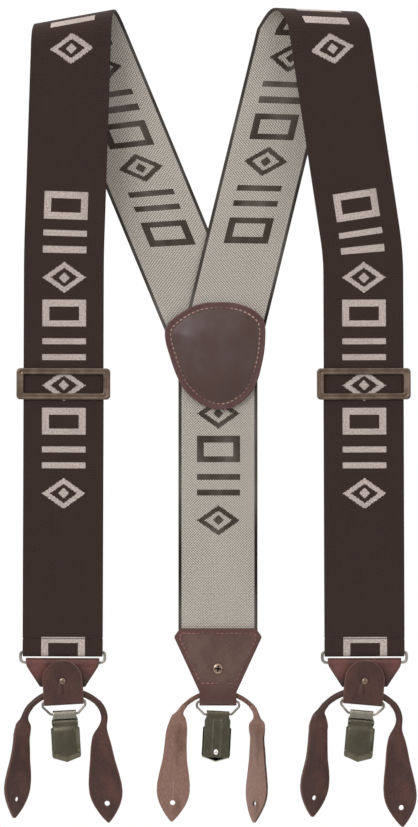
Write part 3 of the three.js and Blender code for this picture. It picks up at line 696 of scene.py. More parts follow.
class Bend:
    # A side view (y, z) that a flat strip follows, with its face to the given side.
    def __init__(self, points, hand):
        self.points = points
        self.hand = hand
        self.lengths = [0]
        for a, b in zip(points, points[1:]):
            self.lengths.append(self.lengths[-1] + math.dist(a, b))
        self.total = self.lengths[-1]

    def way(self, k):
        a, b = self.points[max(k - 1, 0)], self.points[min(k + 1, len(self.points) - 1)]
        size = math.dist(a, b)
        return self.hand * (a[1] - b[1]) / size, self.hand * (b[0] - a[0]) / size

    def at(self, along, lift=0.0):
        along = min(max(along, 0), self.total)
        k = 0
        while k < len(self.lengths) - 2 and self.lengths[k + 1] < along:
            k += 1
        share = (along - self.lengths[k]) / (self.lengths[k + 1] - self.lengths[k])
        (y0, z0), (y1, z1) = self.points[k], self.points[k + 1]
        (m0, n0), (m1, n1) = self.way(k), self.way(k + 1)
        m, n = m0 + (m1 - m0) * share, n0 + (n1 - n0) * share
        size = math.hypot(m, n)
        return y0 + (y1 - y0) * share + m / size * lift, z0 + (z1 - z0) * share + n / size * lift

    def alongs(self, step):
        count = max(int(self.total / step), 2)
        return [self.total * i / count for i in range(count + 1)]


def turned(angle):
    return Matrix.Rotation(math.radians(angle), 4, "Y")


def moved(x, y, z):
    return Matrix.Translation(Vector((x, y, z)))


sides = {
    "left": {
        "ringX": -90.6, "lean": 0.2, "upperLean": 1.9, "backLean": -22.5, "foldZ": -15.5, "backX": -76.5,
        "layer": 1, "tilt": -3.3, "slide": 0,
        "tabs": {
            "outer": {"side": -1, "lean": 5.5, "yaw": 44, "curl": 1.2, "loose": 0.65,
                      "reach": -3, "shift": -0.6},
            "inner": {"side": 1, "lean": -3.4, "yaw": 0, "curl": -0.8, "loose": 0,
                      "reach": 2.2, "shift": -3.2},
        },
    },
    "right": {
        "ringX": 98.2, "lean": -0.2, "upperLean": -8.6, "backLean": 13.8, "foldZ": -11, "backX": 56.7,
        "layer": 0, "tilt": 5, "slide": -5.5,
        "tabs": {
            "inner": {"side": -1, "lean": 4, "yaw": 31, "curl": 1.0, "loose": 1,
                      "reach": -2.7, "shift": 0},
            "outer": {"side": 1, "lean": -2.5, "yaw": 8, "curl": -0.6, "loose": 0,
                      "reach": 3.8, "shift": -2.4},
        },
    },
}
rearTabs = {
    "left": {"side": -1, "lean": 3.5, "yaw": 0, "curl": 1.4, "loose": 1, "reach": 0.8, "shift": -0.6},
    "right": {"side": 1, "lean": 1.7, "yaw": -53, "curl": -1.0, "loose": 0.7, "reach": 1.2, "shift": 0},
}

heights = {"ring": -401, "adjuster": -233.4, "split": -241.3, "bendTop": -140, "bend": 25, "plyLow": -392.7,
           "stackTop": -40, "stackBottom": -120, "rearTop": -206, "rearBail": -433.8}
flapDepth = 23.7
rivetDrop = 11.3
ringDrop = 6.8
bailHeight = 8.3
runnerRadius = 30
runnerSpan = 58


def legAt(side, z):
    low, high = math.tan(math.radians(side["lean"])), math.tan(math.radians(side["upperLean"]))
    bottom = heights["bendTop"] - heights["bend"]
    share = min(max((z - bottom) / heights["bend"], 0), 1)
    bent = heights["bend"] * (low * share + (high - low) * share * share / 2)
    straight = side["ringX"] + (min(z, bottom) - heights["ring"]) * low
    x = straight + bent + max(z - heights["bendTop"], 0) * high
    return x, low + (high - low) * share


def strapStations(side):
    # Distance from the ring, both edges and the way the face looks, from the ring over the shoulder.
    stations = []
    legTop = side["foldZ"] - webHalf / 2
    z = heights["plyLow"] + 0.1
    while z < legTop:
        x, slope = legAt(side, z)
        reach = webHalf / math.hypot(1, slope)
        stations.append((z - heights["ring"], Vector((x - reach, -foldMiddle, z + reach * slope)),
                         Vector((x + reach, -foldMiddle, z - reach * slope)), Vector((0, -1, 0))))
        z += 4
    turn = math.radians((side["upperLean"] + side["backLean"]) / 2)
    cross = math.radians((side["upperLean"] - side["backLean"]) / 2)
    along = Vector((math.cos(turn), 0, -math.sin(turn)))
    up = Vector((math.sin(turn), 0, math.cos(turn)))
    front = Vector((legAt(side, side["foldZ"])[0], 0, side["foldZ"]))
    back = Vector((side["backX"], 0, side["foldZ"]))
    start = side["foldZ"] - heights["ring"]
    for i in range(33):
        angle = math.pi * i / 32
        outward = Vector((0, -math.cos(angle), 0)) + up * math.sin(angle)
        level = front.lerp(back, angle / math.pi)
        level -= up * (level - front).dot(up)
        middle = level + outward * foldMiddle
        reach = along * webHalf / math.cos(cross)
        stations.append((start + foldMiddle * angle, middle - reach, middle + reach, outward))
    slope = math.tan(math.radians(side["backLean"]))
    gone, minus, plus, outward = stations[-1]
    drop = (minus.z + plus.z) / 2 - heights["rearTop"]
    for i in range(1, 61):
        edges = []
        for top in (minus, plus):
            z = top.z + (heights["rearTop"] + gap - top.z) * i / 60
            under = 1 - smoothstep(z, heights["stackBottom"], heights["stackTop"])
            y = top.y + side["layer"] * layerStep * under
            edges.append(Vector((top.x + (z - top.z) * slope, y, z)))
        stations.append((gone + drop * i / 60 * math.hypot(1, slope), edges[0], edges[1], outward))
    return stations


def onStations(stations, ripple):
    def place(flat):
        k = 0
        while k < len(stations) - 2 and stations[k + 1][0] < flat.y:
            k += 1
        first, second = stations[k], stations[k + 1]
        share = min(max((flat.y - first[0]) / (second[0] - first[0]), 0), 1)
        minus, plus = first[1].lerp(second[1], share), first[2].lerp(second[2], share)
        outward = first[3].lerp(second[3], share).normalized()
        return minus.lerp(plus, flat.x / webHalf / 2 + 0.5) + outward * (flat.z + ripple(flat))
    return place


web = {"rows": 3.0, "columns": 14, "edgeRound": 0.5, "ripple": 0.55, "wave": 34}


def rippleOf(keepFlat, seed):
    # Slow waves in the cloth, fading out at hardware and sewn ends.
    def ripple(flat):
        away = min(abs(flat.y - spot) - reach for spot, reach in keepFlat)
        calm = smoothstep(away, 0, 40)
        wave = noise.noise(Vector((flat.x / 60 + seed, flat.y / web["wave"], seed)))
        return web["ripple"] * calm * wave
    return ripple


def fullWidth(along):
    return -webHalf, webHalf


def webStrip(name, alongs, columns, looks=("face", "reverse", "edgeWeb"), edges=fullWidth):
    piece = strip(name, alongs, edges, webThick, looks, columns)
    rounded(piece, web["edgeRound"])
    return piece


def onBend(bend, matrix):
    # Lays flat points on a bend's side view.
    def place(flat):
        y, z = bend.at(flat.y, flat.z)
        return matrix @ Vector((flat.x, y, z))
    return place


def makeSideStrap(name, side):
    stations = strapStations(side)
    start, end = stations[0][0], stations[-1][0]
    count = int((end - start) / web["rows"])
    alongs = [start + (end - start) * i / count for i in range(count + 1)]
    piece = webStrip(f"{name}Strap", alongs, web["columns"])
    fold = side["foldZ"] - heights["ring"]
    keepFlat = [(0, 25), (heights["adjuster"] - heights["ring"], 25), (fold + 18, 40), (end, 70)]
    lay(piece, onStations(stations, rippleOf(keepFlat, side["ringX"])))
    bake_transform(piece)
    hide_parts(f"{name}_strap", f"{name}_front_ply")


turnOver = {"barY": 3.8, "loop": 1.9, "ring": 2.2, "tail": 3.0, "barTop": 1.5}


def makeReturnPly(name, side):
    # The return behind the leg, sewn round the adjuster's cross bar.
    t = turnOver
    x, slope = legAt(side, heights["adjuster"])
    lean = math.atan(slope)
    length = (heights["adjuster"] - heights["plyLow"]) / math.cos(lean)
    back = t["barY"] + t["loop"]
    path = [(t["barY"] - t["loop"], -t["tail"]), (t["barY"] - t["loop"], t["barTop"])]
    path += arc(t["barY"], t["barTop"], t["loop"], math.pi, 0, 12) + [(back, -t["tail"])]
    steps = 46
    for i in range(1, steps + 1):
        down = -t["tail"] + (t["tail"] - length) * i / steps
        path.append((back + (2 * t["ring"] - back) * i / steps, down))
    bend = Bend(path, 1)
    piece = webStrip(f"{name}ReturnPly", bend.alongs(1.6), 10)
    lay(piece, onBend(bend, moved(x, -foldMiddle, heights["adjuster"]) @ Matrix.Rotation(lean, 4, "Y")))
    shiftFlat(piece, lambda across, along, through: (-across, along - bend.total - 20, through))
    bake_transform(piece)
    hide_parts(f"{name}_return_ply")


def makeStrapTurn(name, side):
    # The turn round the ring's upper bar.
    radius, tall = turnOver["ring"], heights["plyLow"] - heights["ring"]
    path = [(radius, tall), (radius, tall / 2)] + arc(0, 0, radius, 0, -math.pi, 20)
    bend = Bend(path + [(-radius, tall / 2), (-radius, tall)], 1)
    piece = webStrip(f"{name}StrapTurn", bend.alongs(0.8), web["columns"])
    lay(piece, onBend(bend, moved(side["ringX"], ringY, heights["ring"]) @ turned(side["lean"])))
    shiftFlat(piece, lambda across, along, through: (across, along - bend.total + tall, through))
    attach(piece, f"{name}_drop")
    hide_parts(f"{name}_strap_turn")


for name, side in sides.items():
    makeSideStrap(name, side)
    makeReturnPly(name, side)
    makeStrapTurn(name, side)

rearYoke = {"tall": 46.3, "half": 27.8, "neckHalf": 11.7, "neckTall": 10, "taper": 14, "shoulder": 5.5,
            "cornerIn": 4, "rivetUp": 20.8, "rivetHead": 3.3, "stitchIn": 3.3, "rowUp": 11.5, "runner": 3.2,
            "runnerUp": 5.94}


def rearHalf(z):
    y = rearYoke
    rows = [(-6, y["neckHalf"]), (y["neckTall"] - 4, y["neckHalf"]), (y["tall"] - y["shoulder"], y["half"]),
            (y["tall"], y["half"] - y["cornerIn"])]
    return table(rows, z)


rearX = 6.6
rearStrap = {"top": heights["rearTop"], "bottom": -399.3, "plainBelow": -331, "trimmed": 9, "trim": 1.8}


def makeRearStrap():
    long = rearStrap["top"] - rearStrap["bottom"]
    count = int(long / web["rows"])
    alongs = [long * i / count for i in range(count + 1)]

    def edges(along):
        # The sewn end is trimmed to lie inside the leather.
        covered = rearHalf(rearStrap["bottom"] + along - heights["rearBail"]) - rearStrap["trim"]
        half = min(webHalf, covered) if along < rearStrap["trimmed"] else webHalf
        return -half, half
    piece = webStrip("rearStrap", alongs, web["columns"], ("reverse", "face", "edgeWeb"), edges)
    ripple = rippleOf([(0, 45), (long, 35)], 21.0)
    low = rearStrap["bottom"]
    lay(piece, lambda flat: Vector((rearX + flat.x, backY - flat.z - ripple(flat), low + flat.y)))
    shift = motif["start"] - (rearStrap["plainBelow"] - rearStrap["bottom"])
    shiftFlat(piece, lambda across, along, through: (across, along + shift, through))
    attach(piece, "straps")
    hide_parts("rear_strap")


makeRearStrap()
print("webbing laid")


patch = {
    "outline": [(7, -181.6), (-2, -182.2), (-12, -185.5), (-22, -192.2), (-25.9, -196.7), (-27.0, -201.1),
                (-26.2, -207.8), (-23.9, -215.6), (-20.9, -224.6), (-16.9, -233.5), (-13.6, -238),
                (-9.1, -242.4), (-2.4, -246.9), (3.1, -248.9), (7.6, -249.6), (14.3, -248.6), (20.4, -245.3),
                (24.9, -241.9), (28.8, -236.9), (31.6, -231.3), (33.8, -223.4), (35.8, -213.4),
                (36.6, -202.8), (36.3, -196.1), (34.9, -192.2), (29.9, -187.2), (22.7, -183.6),
                (15.4, -181.9)],
    "centre": (6, -215),
    "thick": 1.8,
    "apart": 2.95,  # from the straps' middle to the middle of either layer
    "stitchIn": 3.7,
    "dome": 3.4,
}


def closedCurve(points, count):
    # An even walk round a smooth closed line through the points.
    fine = []
    size = len(points)
    for i in range(size):
        a, b, c, d = (Vector(points[(i + k) % size]) for k in (-1, 0, 1, 2))
        for k in range(12):
            t = k / 12
            square, cube = 2 * a - 5 * b + 4 * c - d, 3 * b - a - 3 * c + d
            fine.append(0.5 * (2 * b + (c - a) * t + square * t ** 2 + cube * t ** 3))
    lengths = [0]
    for i in range(len(fine)):
        lengths.append(lengths[-1] + (fine[(i + 1) % len(fine)] - fine[i]).length)
    walk, k = [], 0
    for i in range(count):
        want = lengths[-1] * i / count
        while lengths[k + 1] < want:
            k += 1
        share = (want - lengths[k]) / (lengths[k + 1] - lengths[k])
        walk.append(fine[k].lerp(fine[(k + 1) % len(fine)], share))
    return walk


def inset(walk, distance):
    line = []
    for i, point in enumerate(walk):
        ahead = (walk[(i + 1) % len(walk)] - walk[i - 1]).normalized()
        line.append(point + Vector((-ahead.y, ahead.x)) * distance)
    return line


def makePatch():
    walk = closedCurve(patch["outline"], 120)
    seam = inset(walk, patch["stitchIn"])
    for name, hand in (("inner", -1), ("outer", 1)):
        middle = backY + hand * patch["apart"]
        piece = radial(f"{name}Patch", [tuple(point) for point in walk], patch["centre"], patch["thick"],
                       ["patchHide", "innerFlesh", "rawEdge"])
        rounded(piece, 0.42, 3)

        def rim(flat):
            return min((Vector((flat.x, flat.y)) - point).length for point in walk)

        def onPatch(flat):
            inward = rim(flat)
            groove = 0.45 * math.exp(-((inward - patch["stitchIn"]) / 0.9) ** 2)
            swell = patch["dome"] * smoothstep(inward, 1.5, 20) - groove
            lift = flat.z + (swell if flat.z > 0 else 0) * 0.8
            return Vector((flat.x, middle + hand * lift, flat.y))
        lay(piece, onPatch, rim)
        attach(piece, "straps")
        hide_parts(f"{name}_patch")

        def onFace(flat):
            return Vector((flat.x, middle + hand * (patch["thick"] / 2 - 0.12 + flat.z), flat.y))
        thread = stitches(f"{name}PatchStitches", [[tuple(point) for point in seam + seam[:1]]], onFace)
        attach(thread, "straps")


makePatch()
print("patch sewn")


def makeRearYoke():
    y = rearYoke
    top = bailWire / 2 + gap + leather / 2
    beside = y["runner"] / 2 + gap + leather / 2
    flat = webThick / 2 + gap + leather / 2
    halfPath = [(flat, y["tall"]), (flat, y["neckTall"] + y["taper"]), (beside, y["neckTall"]),
                (beside, bailWire + y["runner"] / 2)]
    path = [(-out, up) for out, up in halfPath] + arc(0, 0, top, math.pi, 2 * math.pi, 14) + halfPath[::-1]
    bend = Bend(eased(path), -1)
    base = moved(rearX, backY, heights["rearBail"])

    def edges(along):
        half = rearHalf(bend.at(along)[1])
        return -half, half

    def rim(flat):
        return min(rearHalf(bend.at(flat.y)[1]) - abs(flat.x), flat.y, bend.total - flat.y)

    place = onBend(bend, base)
    piece = strip("rearYoke", bend.alongs(1.2), edges, leather, ["rearHide", "innerFlesh", "rawEdge"], 16)
    rounded(piece, 0.4, 3)
    lay(piece, place, rim)
    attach(piece, "straps")
    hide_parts("rear_yoke")
    runs = []
    for hand in (-1, 1):
        for start, sign in ((0, 1), (bend.total, -1)):
            run = []
            for i in range(40):
                along = start + sign * (y["stitchIn"] + i * (y["tall"] - y["rowUp"] - y["stitchIn"]) / 39)
                run.append((hand * (rearHalf(bend.at(along)[1]) - y["stitchIn"]), along))
            runs.append(run)
    for along in (y["stitchIn"], bend.total - y["stitchIn"], y["tall"] - y["rowUp"],
                  bend.total - y["tall"] + y["rowUp"]):
        half = rearHalf(bend.at(along)[1]) - y["stitchIn"]
        runs.append([(-half, along), (half, along)])
    onFace = Vector((0, 0, leather / 2 - 0.05))
    thread = stitches("rearYokeStitches", runs, lambda spot: place(spot + onFace), "darkThread")
    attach(thread, "straps")
    over = webThick / 2 + 2 * gap + leather
    rivet = makeRivet("rearRivet", base @ moved(0, 0, y["rivetUp"]), over, y["rivetHead"], slotted=True)
    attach(rivet, "straps")
    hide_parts("rear_rivet")


rivetShape = {"dome": 1.25, "lip": 0.18, "slotHalf": 0.42, "slotReach": 0.62, "slotFloor": 0.3,
              "slotTurn": 0.1}


def makeRivet(name, matrix, half, head, slotted=False):
    # Two domed heads, half away from the middle; the rear one has a cross cut in it.
    r = rivetShape
    turns = [math.pi / 2 * i / 8 for i in range(9)]
    cap = [(head * math.sin(a), half + r["lip"] + (r["dome"] - r["lip"]) * math.cos(a)) for a in turns]
    cap[0] = (0.02, cap[0][1])
    back = cap + [(head, half), (head * 0.35, half)]
    profile = [(radius, -y) for radius, y in back] + [(radius, y) for radius, y in reversed(back)]
    rivet = lathe(name, profile, Matrix.Identity(4), "rivet")
    if slotted:
        cutters = []
        x, z = head * r["slotReach"], r["slotHalf"]
        for angle in (r["slotTurn"], r["slotTurn"] + math.pi / 2):
            outline = [(-x, -z), (x, -z), (x, z), (-x, z)]
            bar = prism("slotCutter", outline, half + r["slotFloor"], half + 3, "recess")
            bar.data.transform(Matrix.Rotation(angle, 4, "Y") @ Matrix.Rotation(math.pi / 2, 4, "X"))
            bar.data.transform(Matrix.Scale(metre, 4))
            cutters.append(bar)
        carve(rivet, cutters)
        sharpen(rivet, 30)
    rivet.data.transform(Matrix.Translation(matrix.translation * metre) @ matrix.to_3x3().to_4x4())
    return rivet


makeRearYoke()
print("rear leather folded")


tab = {
    # Half the width by distance down from the roll.
    "half": [(-12, 2.7), (3, 2.75), (7, 3.1), (10, 4.0), (14, 5.5), (19, 6.6), (27, 7.8), (35, 9.4),
             (41, 10.3), (46, 10.4), (50, 9.7), (54, 8.2), (58, 6.0), (61.5, 3.6), (64, 1.5), (65, 0.5)],
    "looseHalf": [(-12, 2.8), (-5, 3.2), (-1, 4.2), (2.5, 5.4), (6, 6.3), (10, 6.7), (16, 6.9), (22, 7.3),
                  (27, 7.8), (30, 0)],
    "long": 65, "holeDown": 53, "hole": 1.6, "slit": 13, "slitWide": 0.05, "neckFrom": 44, "neckOver": 12.2,
}


def tabHalf(end, down):
    # A loose tab opens out higher up than a tightly rolled one.
    tight = table(tab["half"], down)
    return tight + (max(table(tab["looseHalf"], down), tight) - tight) * end["loose"]


def neckLine(end, finish):
    # Down the rolled neck: leaves the arch at its own slope and swings round to hang at the given lean.
    start = math.radians(tab["neckFrom"])
    spot = Vector((end["side"] * runnerRadius * math.sin(start), runnerRadius * (math.cos(start) - 1)))
    first = end["side"] * (math.pi / 2 - start)
    spots, step = [], 0.4
    for i in range(int((tab["neckOver"] + tab["long"]) / step) + 8):
        share = smoothstep(i * step, -3, tab["neckOver"] + 0.8)
        heading = first + (finish - first) * share
        spots.append((i * step, spot.copy(), heading))
        spot += Vector((math.sin(heading), -math.cos(heading))) * step
    return spots, step


def makeTab(name, prefix, body, top, end, lean, diameter, grainFront):
    drop = diameter / 2 * math.sin(math.radians(runnerSpan)) + gap
    root = (runnerSpan - tab["neckFrom"]) / 180 * math.pi * runnerRadius + drop
    spots, step = neckLine(end, -math.radians(lean))
    count = 50
    alongs = [root - (tab["long"] + root) * (i / count) ** 0.95 for i in range(count + 1)]
    looks = ["hide", "innerFlesh", "rawEdge"] if grainFront else ["flesh", "hide", "rawEdge"]

    def edges(along):
        half = tabHalf(end, -along)
        return -half, half
    piece = strip(name, alongs[::-1], edges, leather, looks, 14)
    hole = arc(0, -tab["holeDown"], tab["hole"], 0, 2 * math.pi, 20)[:-1]
    x, low, high = tab["slitWide"] / 2, -tab["holeDown"], -tab["holeDown"] + tab["slit"]
    slit = [(-x, low), (x, low), (x, high), (-x, high)]
    carve(piece, [prism("holeCutter", hole, -3, 3)])
    rounded(piece, 0.3, 2, 50)
    carve(piece, [prism("slitCutter", slit, -3, 3)])
    rollSize = max(diameter / 2 - leather / 2, 0.95)
    yaw = math.radians(end["yaw"])

    def rim(flat):
        return min((tabHalf(end, -flat.y) - abs(flat.x)) * 0.9, tab["long"] + flat.y + 0.2)

    def place(flat):
        down = -flat.y
        closed = 1 - smoothstep(down, 2 - 9 * end["loose"], 15 - 13 * end["loose"])
        roll = max(closed / rollSize, 0.012)
        turn = flat.x * roll
        x = math.sin(turn) * (1 / roll + flat.z)
        out = math.cos(turn) * (1 / roll + flat.z) - 1 / roll + rollSize * closed
        near = smoothstep(down, 0, 24)
        out += end["curl"] * math.sin(min(max(down, 0) / tab["long"], 1) * math.pi) * near
        out += 0.35 * noise.noise(Vector((flat.x / 9, down / 14, end["lean"]))) * near
        twist = yaw * smoothstep(down, -4 + 5 * end["loose"], 26 - 17 * end["loose"])
        x, out = x * math.cos(twist) + out * math.sin(twist), x * math.sin(twist) - out * math.cos(twist)
        x += end["shift"] * smoothstep(down, 1, 13) * (1 - 0.6 * smoothstep(down, 14, 65))
        gone = down + root + end["reach"] * smoothstep(down, 0, 55)
        k = min(max(int(gone / step), 0), len(spots) - 2)
        share = gone / step - k
        spot = spots[k][1].lerp(spots[k + 1][1], share)
        heading = spots[k][2] + (spots[k + 1][2] - spots[k][2]) * min(max(share, 0), 1)
        return top @ Vector((spot.x + x * math.cos(heading), out, spot.y + x * math.sin(heading)))

    lay(piece, place, rim)
    sharpen(piece, 50)
    above, below = place(Vector((0, drop + 4, 0))), place(Vector((0, drop - 6, 0)))
    above * metre
    below * metre
    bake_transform(piece)
    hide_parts(body)


def makeTabs(prefix, base, ends, diameter, tilt, slide, grainFront):
    # The rolled runner arches through its loop, and a tab hangs from each end.
    arch = base @ moved(0, 0, -runnerRadius) @ turned(slide)
    reach = tab["neckFrom"] + 4
    path = []
    for i in range(41):
        angle = math.radians(reach) * (i / 20 - 1)
        path.append(arch @ Vector((runnerRadius * math.sin(angle), 0, runnerRadius * math.cos(angle))))

    def size(share, turn):
        closing = min(share, 1 - share) * 50
        cap = 0.45 + 0.55 * math.sqrt(1 - (1 - min(closing / 3.2, 1)) ** 2)
        seam = 0.16 * math.exp(-((turn - 2.3) / 0.22) ** 2)
        return diameter / 2 * cap * (0.93 - seam + 0.02 * math.sin(share * 21 + turn * 2))
    runner = sweep(f"{prefix}Runner", path, size, "hide" if grainFront else "innerFlesh", False, 20)
    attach(runner, f"{prefix}_runner")
    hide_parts(f"{prefix}_runner")
    top = arch @ moved(0, 0, runnerRadius)
    for name, end in ends.items():
        makeTab(f"{prefix}Tab{name.capitalize()}", prefix, f"{prefix}_tab_{name}", top, end,
                end["lean"] - tilt - slide, diameter, grainFront)


clip = {"sheet": 0.9, "half": 8.1, "coverHalf": 9, "long": 28, "curl": 1.95, "eye": 1.35, "earOut": 1.4,
        "pinDrop": 5.2, "ear": 1.9, "neck": 7.2, "jawRivet": -23.5, "tongueHalf": 3.6, "tongue": 0.6,
        "pinRadius": 0.6, "padFront": 0.4}


def curve(start, handle, end, steps):
    # The points after the start of a quadratic curve.
    points = []
    for i in range(1, steps + 1):
        t = i / steps
        spots = zip(start, handle, end)
        points.append(tuple((1 - t) ** 2 * a + 2 * t * (1 - t) * b + t * t * c for a, b, c in spots))
    return points


def bentSheet(name, path, half, matrix, look, step, columns, edge, shape=None):
    bend = Bend(path, 1)

    def edges(along):
        width = half(bend.at(along)[1], along / bend.total)
        return -width, width

    def place(flat):
        y, z = bend.at(flat.y, flat.z)
        if shape:
            y, z = shape(flat.x, y, z)
        return matrix @ Vector((flat.x, y, z))
    # The cut edges take the brighter steel, a painted highlight along them.
    piece = strip(name, bend.alongs(step), edges, clip["sheet"], [look, look, "steel"], columns)
    rounded(piece, edge, 2)
    lay(piece, place)
    sharpen(piece, 38)
    return piece


def makeClip(prefix, matrix):
    c = clip
    # The front clips' plates take the brighter steel, a painted highlight; the rear clip's plate stays
    # gunmetal.
    plateLook = "gunmetal" if prefix == "rear" else "steel"
    # Cover: a pressed shield with its sides turned back and a shallow point at the foot.
    front, inside = -c["earOut"] - c["eye"], c["padFront"] - gap - c["sheet"] / 2
    path = arc(-c["earOut"], -c["pinDrop"], c["eye"], -math.pi / 3, math.pi, 16)
    top, foot = (front, -c["pinDrop"] - 3), (front, -c["long"] + 5)
    path += [(front, -c["pinDrop"] - 1.5), top]
    path += curve(top, (front - 0.9, -c["long"] / 2), foot, 14)
    path += curve(foot, (front + 0.2, -c["long"]), (inside, -c["long"] - 0.6), 8)
    between = c["half"] - c["sheet"] - gap
    below = -c["pinDrop"] - c["ear"] - gap

    def coverHalf(z, share):
        if share < 0.16 or z > below:
            return between
        rows = [(-c["long"] - 1, c["coverHalf"] * 0.93), (-c["long"] + 0.5, c["coverHalf"]),
                (below - 1.2, c["coverHalf"]), (below, between)]
        return table(rows, z)

    def turnBack(x, y, z):
        lower = smoothstep(-z, c["pinDrop"] + 2, c["pinDrop"] + 5)
        upper = 1 - smoothstep(-z, c["long"] - 6, c["long"] - 2)
        y += lower * 0.8 * smoothstep(abs(x), c["coverHalf"] - 2.4, c["coverHalf"]) * upper
        y -= lower * 0.75 * (1 - (x / c["coverHalf"]) ** 2)
        z += smoothstep(-z, c["long"] - 6, c["long"]) * (3.0 * abs(x) / c["coverHalf"] - 1.3)
        return y, z
    cover = bentSheet(f"{prefix}ClipCover", path, coverHalf, matrix, "gunmetal", 0.6, 20, 0.24, turnBack)
    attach(cover, f"{prefix}_lever")
    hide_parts(f"{prefix}_clip_cover")

    # Plate: curled over the bail, flat down the back, with an ear each side for the pin.
    neckLow = -bailWire / 2 - 2 * gap
    path = [(c["curl"], -c["long"] + 1), (c["curl"], -c["long"] / 2)]
    path += arc(0, 0, c["curl"], 0, math.pi, 16) + [(-c["curl"], -c["pinDrop"] + c["ear"] + 0.6)]

    def plateHalf(z, share):
        if share > 0.8:
            return c["neck"]
        return table([(neckLow - 2, c["half"]), (neckLow, c["neck"])], z)
    parts = [bentSheet("plateSheet", path, plateHalf, matrix, plateLook, 0.8, 10, 0.22)]
    ear = [(c["curl"], -c["pinDrop"] - c["ear"]), (c["curl"], -c["pinDrop"] + c["ear"])]
    ear += arc(-c["earOut"], -c["pinDrop"], c["ear"], math.pi / 2, 1.5 * math.pi, 12)
    for hand in (-1, 1):
        plate = prism("ear", ear, -c["sheet"] / 2, c["sheet"] / 2, "gunmetal")
        hole = arc(-c["earOut"], -c["pinDrop"], c["pinRadius"] + 0.12, 0, 2 * math.pi, 16)[:-1]
        carve(plate, [prism("pinCutter", hole, -3, 3, "gunmetal")])
        rounded(plate, 0.2, 2, 50)
        shift = hand * (c["half"] - c["sheet"] / 2)
        lay(plate, lambda flat: matrix @ Vector((shift + flat.z, flat.x, flat.y)))
        sharpen(plate, 35)
        parts.append(plate)
    plate = joined(f"{prefix}ClipPlate", parts)
    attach(plate, f"{prefix}_clip")
    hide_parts(f"{prefix}_clip_plate")

    # Tongue: a sprung strip on the back, held by the bright jaw rivet.
    inner = c["curl"] + c["sheet"] / 2 + gap
    foot, head = -c["long"] + 2, -c["long"] + 2 + c["long"] - 5

    def tongueEdges(z):
        half = c["tongueHalf"] * (1 - 0.25 * smoothstep(z, head - 3, head))
        return -half, half

    def onPlate(flat):
        lip = 0.45 * smoothstep(abs(flat.x), 2.0, 3.2)
        return matrix @ Vector((flat.x, inner + c["tongue"] / 2 + flat.z + lip, flat.y))
    # The tongue's cut edges take the bright nickel, a painted highlight along them.
    tongue = strip(f"{prefix}ClipTongue", [foot + (head - foot) * i / 24 for i in range(25)], tongueEdges,
                   c["tongue"], ["gunmetal", "gunmetal", "nickel"], 16)
    rounded(tongue, 0.18, 2)
    lay(tongue, onPlate)
    sharpen(tongue, 38)
    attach(tongue, f"{prefix}_clip")
    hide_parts(f"{prefix}_clip_tongue")
    back = inner + c["tongue"] + gap
    profile = [(0.7, c["padFront"] + 0.4), (0.7, back - 0.3), (1.7, back - 0.3), (1.75, back),
               (1.6, back + 0.35), (1.2, back + 0.62), (0.6, back + 0.76), (0.02, back + 0.8)]
    rivet = lathe(f"{prefix}ClipRivet", profile, matrix @ moved(0, 0, c["jawRivet"]), "nickel")
    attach(rivet, f"{prefix}_clip")
    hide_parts(f"{prefix}_clip_rivet")
    reach = c["half"] + 0.3
    steps = [(-reach - 0.02, 0.35), (-reach + 0.1, 0.55), (-reach + 0.3, c["pinRadius"])]
    profile = [(0.02, -reach - 0.04)] + [(r, x) for x, r in steps]
    profile += [(r, -x) for x, r in reversed(steps)] + [(0.02, reach + 0.04)]
    across = matrix @ moved(0, -c["earOut"], -c["pinDrop"]) @ Matrix.Rotation(math.pi / 2, 4, "Z")
    pin = lathe(f"{prefix}ClipPin", profile, across, "nickel", 16)
    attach(pin, f"{prefix}_clip")
    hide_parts(f"{prefix}_clip_pin")
    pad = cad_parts[f"{prefix}_clip_pad"]
    for place in pad.material_slots:
        place.material = paints["pad"]


def wireCorner(points, radii, steps=7):
    # A closed line with each corner rounded to its radius.
    path = []
    size = len(points)
    for i, radius in enumerate(radii):
        before, here, after = (Vector(points[(i + k) % size]) for k in (-1, 0, 1))
        back, ahead = (before - here).normalized(), (after - here).normalized()
        angle = back.angle(ahead)
        reach = radius / math.tan(angle / 2)
        start, end = here + back * reach, here + ahead * reach
        for k in range(steps + 1):
            t = k / steps
            path.append((1 - t) ** 2 * start + 2 * t * (1 - t) * here + t * t * end)
    dense = []
    for i, point in enumerate(path):
        after = path[(i + 1) % len(path)]
        parts = max(int((after - point).length / 2.5), 1)
        dense += [point.lerp(after, k / parts) for k in range(parts)]
    return dense


def makeWire(name, points, radii, wire, matrix, body, node):
    path = [matrix @ Vector((x, 0, z)) for x, z in wireCorner(points, radii)]
    piece = sweep(name, path, wire / 2, "wire", True, 14)
    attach(piece, body)
    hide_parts(node)


bail = {"loopHalf": 12.4, "shoulder": -3.6, "radii": [2.6, 2.6, 2.2, 1.4, 1.4, 2.2], "thinner": 0.3}


def makeBail(prefix, matrix):
    top, low = bail["loopHalf"] + gap + bailWire / 2, clip["neck"] + gap + bailWire / 2
    shoulder = bail["shoulder"]
    points = [(-top, 0), (top, 0), (top - 0.3, shoulder), (low + 0.2, -bailHeight), (-low - 0.2, -bailHeight),
              (-top + 0.3, shoulder)]
    makeWire(f"{prefix}Bail", points, bail["radii"], bailWire - bail["thinner"], matrix, f"{prefix}_bail",
             f"{prefix}_bail")


adjuster = {"tall": 19.6, "half": 29.3, "corner": 2.5, "sideWide": 1.16,
            "profile": [(0.0, 0.0), (0.0, 1.0), (0.25, 1.4), (0.7, 1.6), (1.25, 1.52), (1.6, 1.18),
                        (2.45, 1.18), (2.75, 1.5), (3.2, 1.6), (3.6, 1.42), (3.9, 1.0), (3.9, 0.0)]}


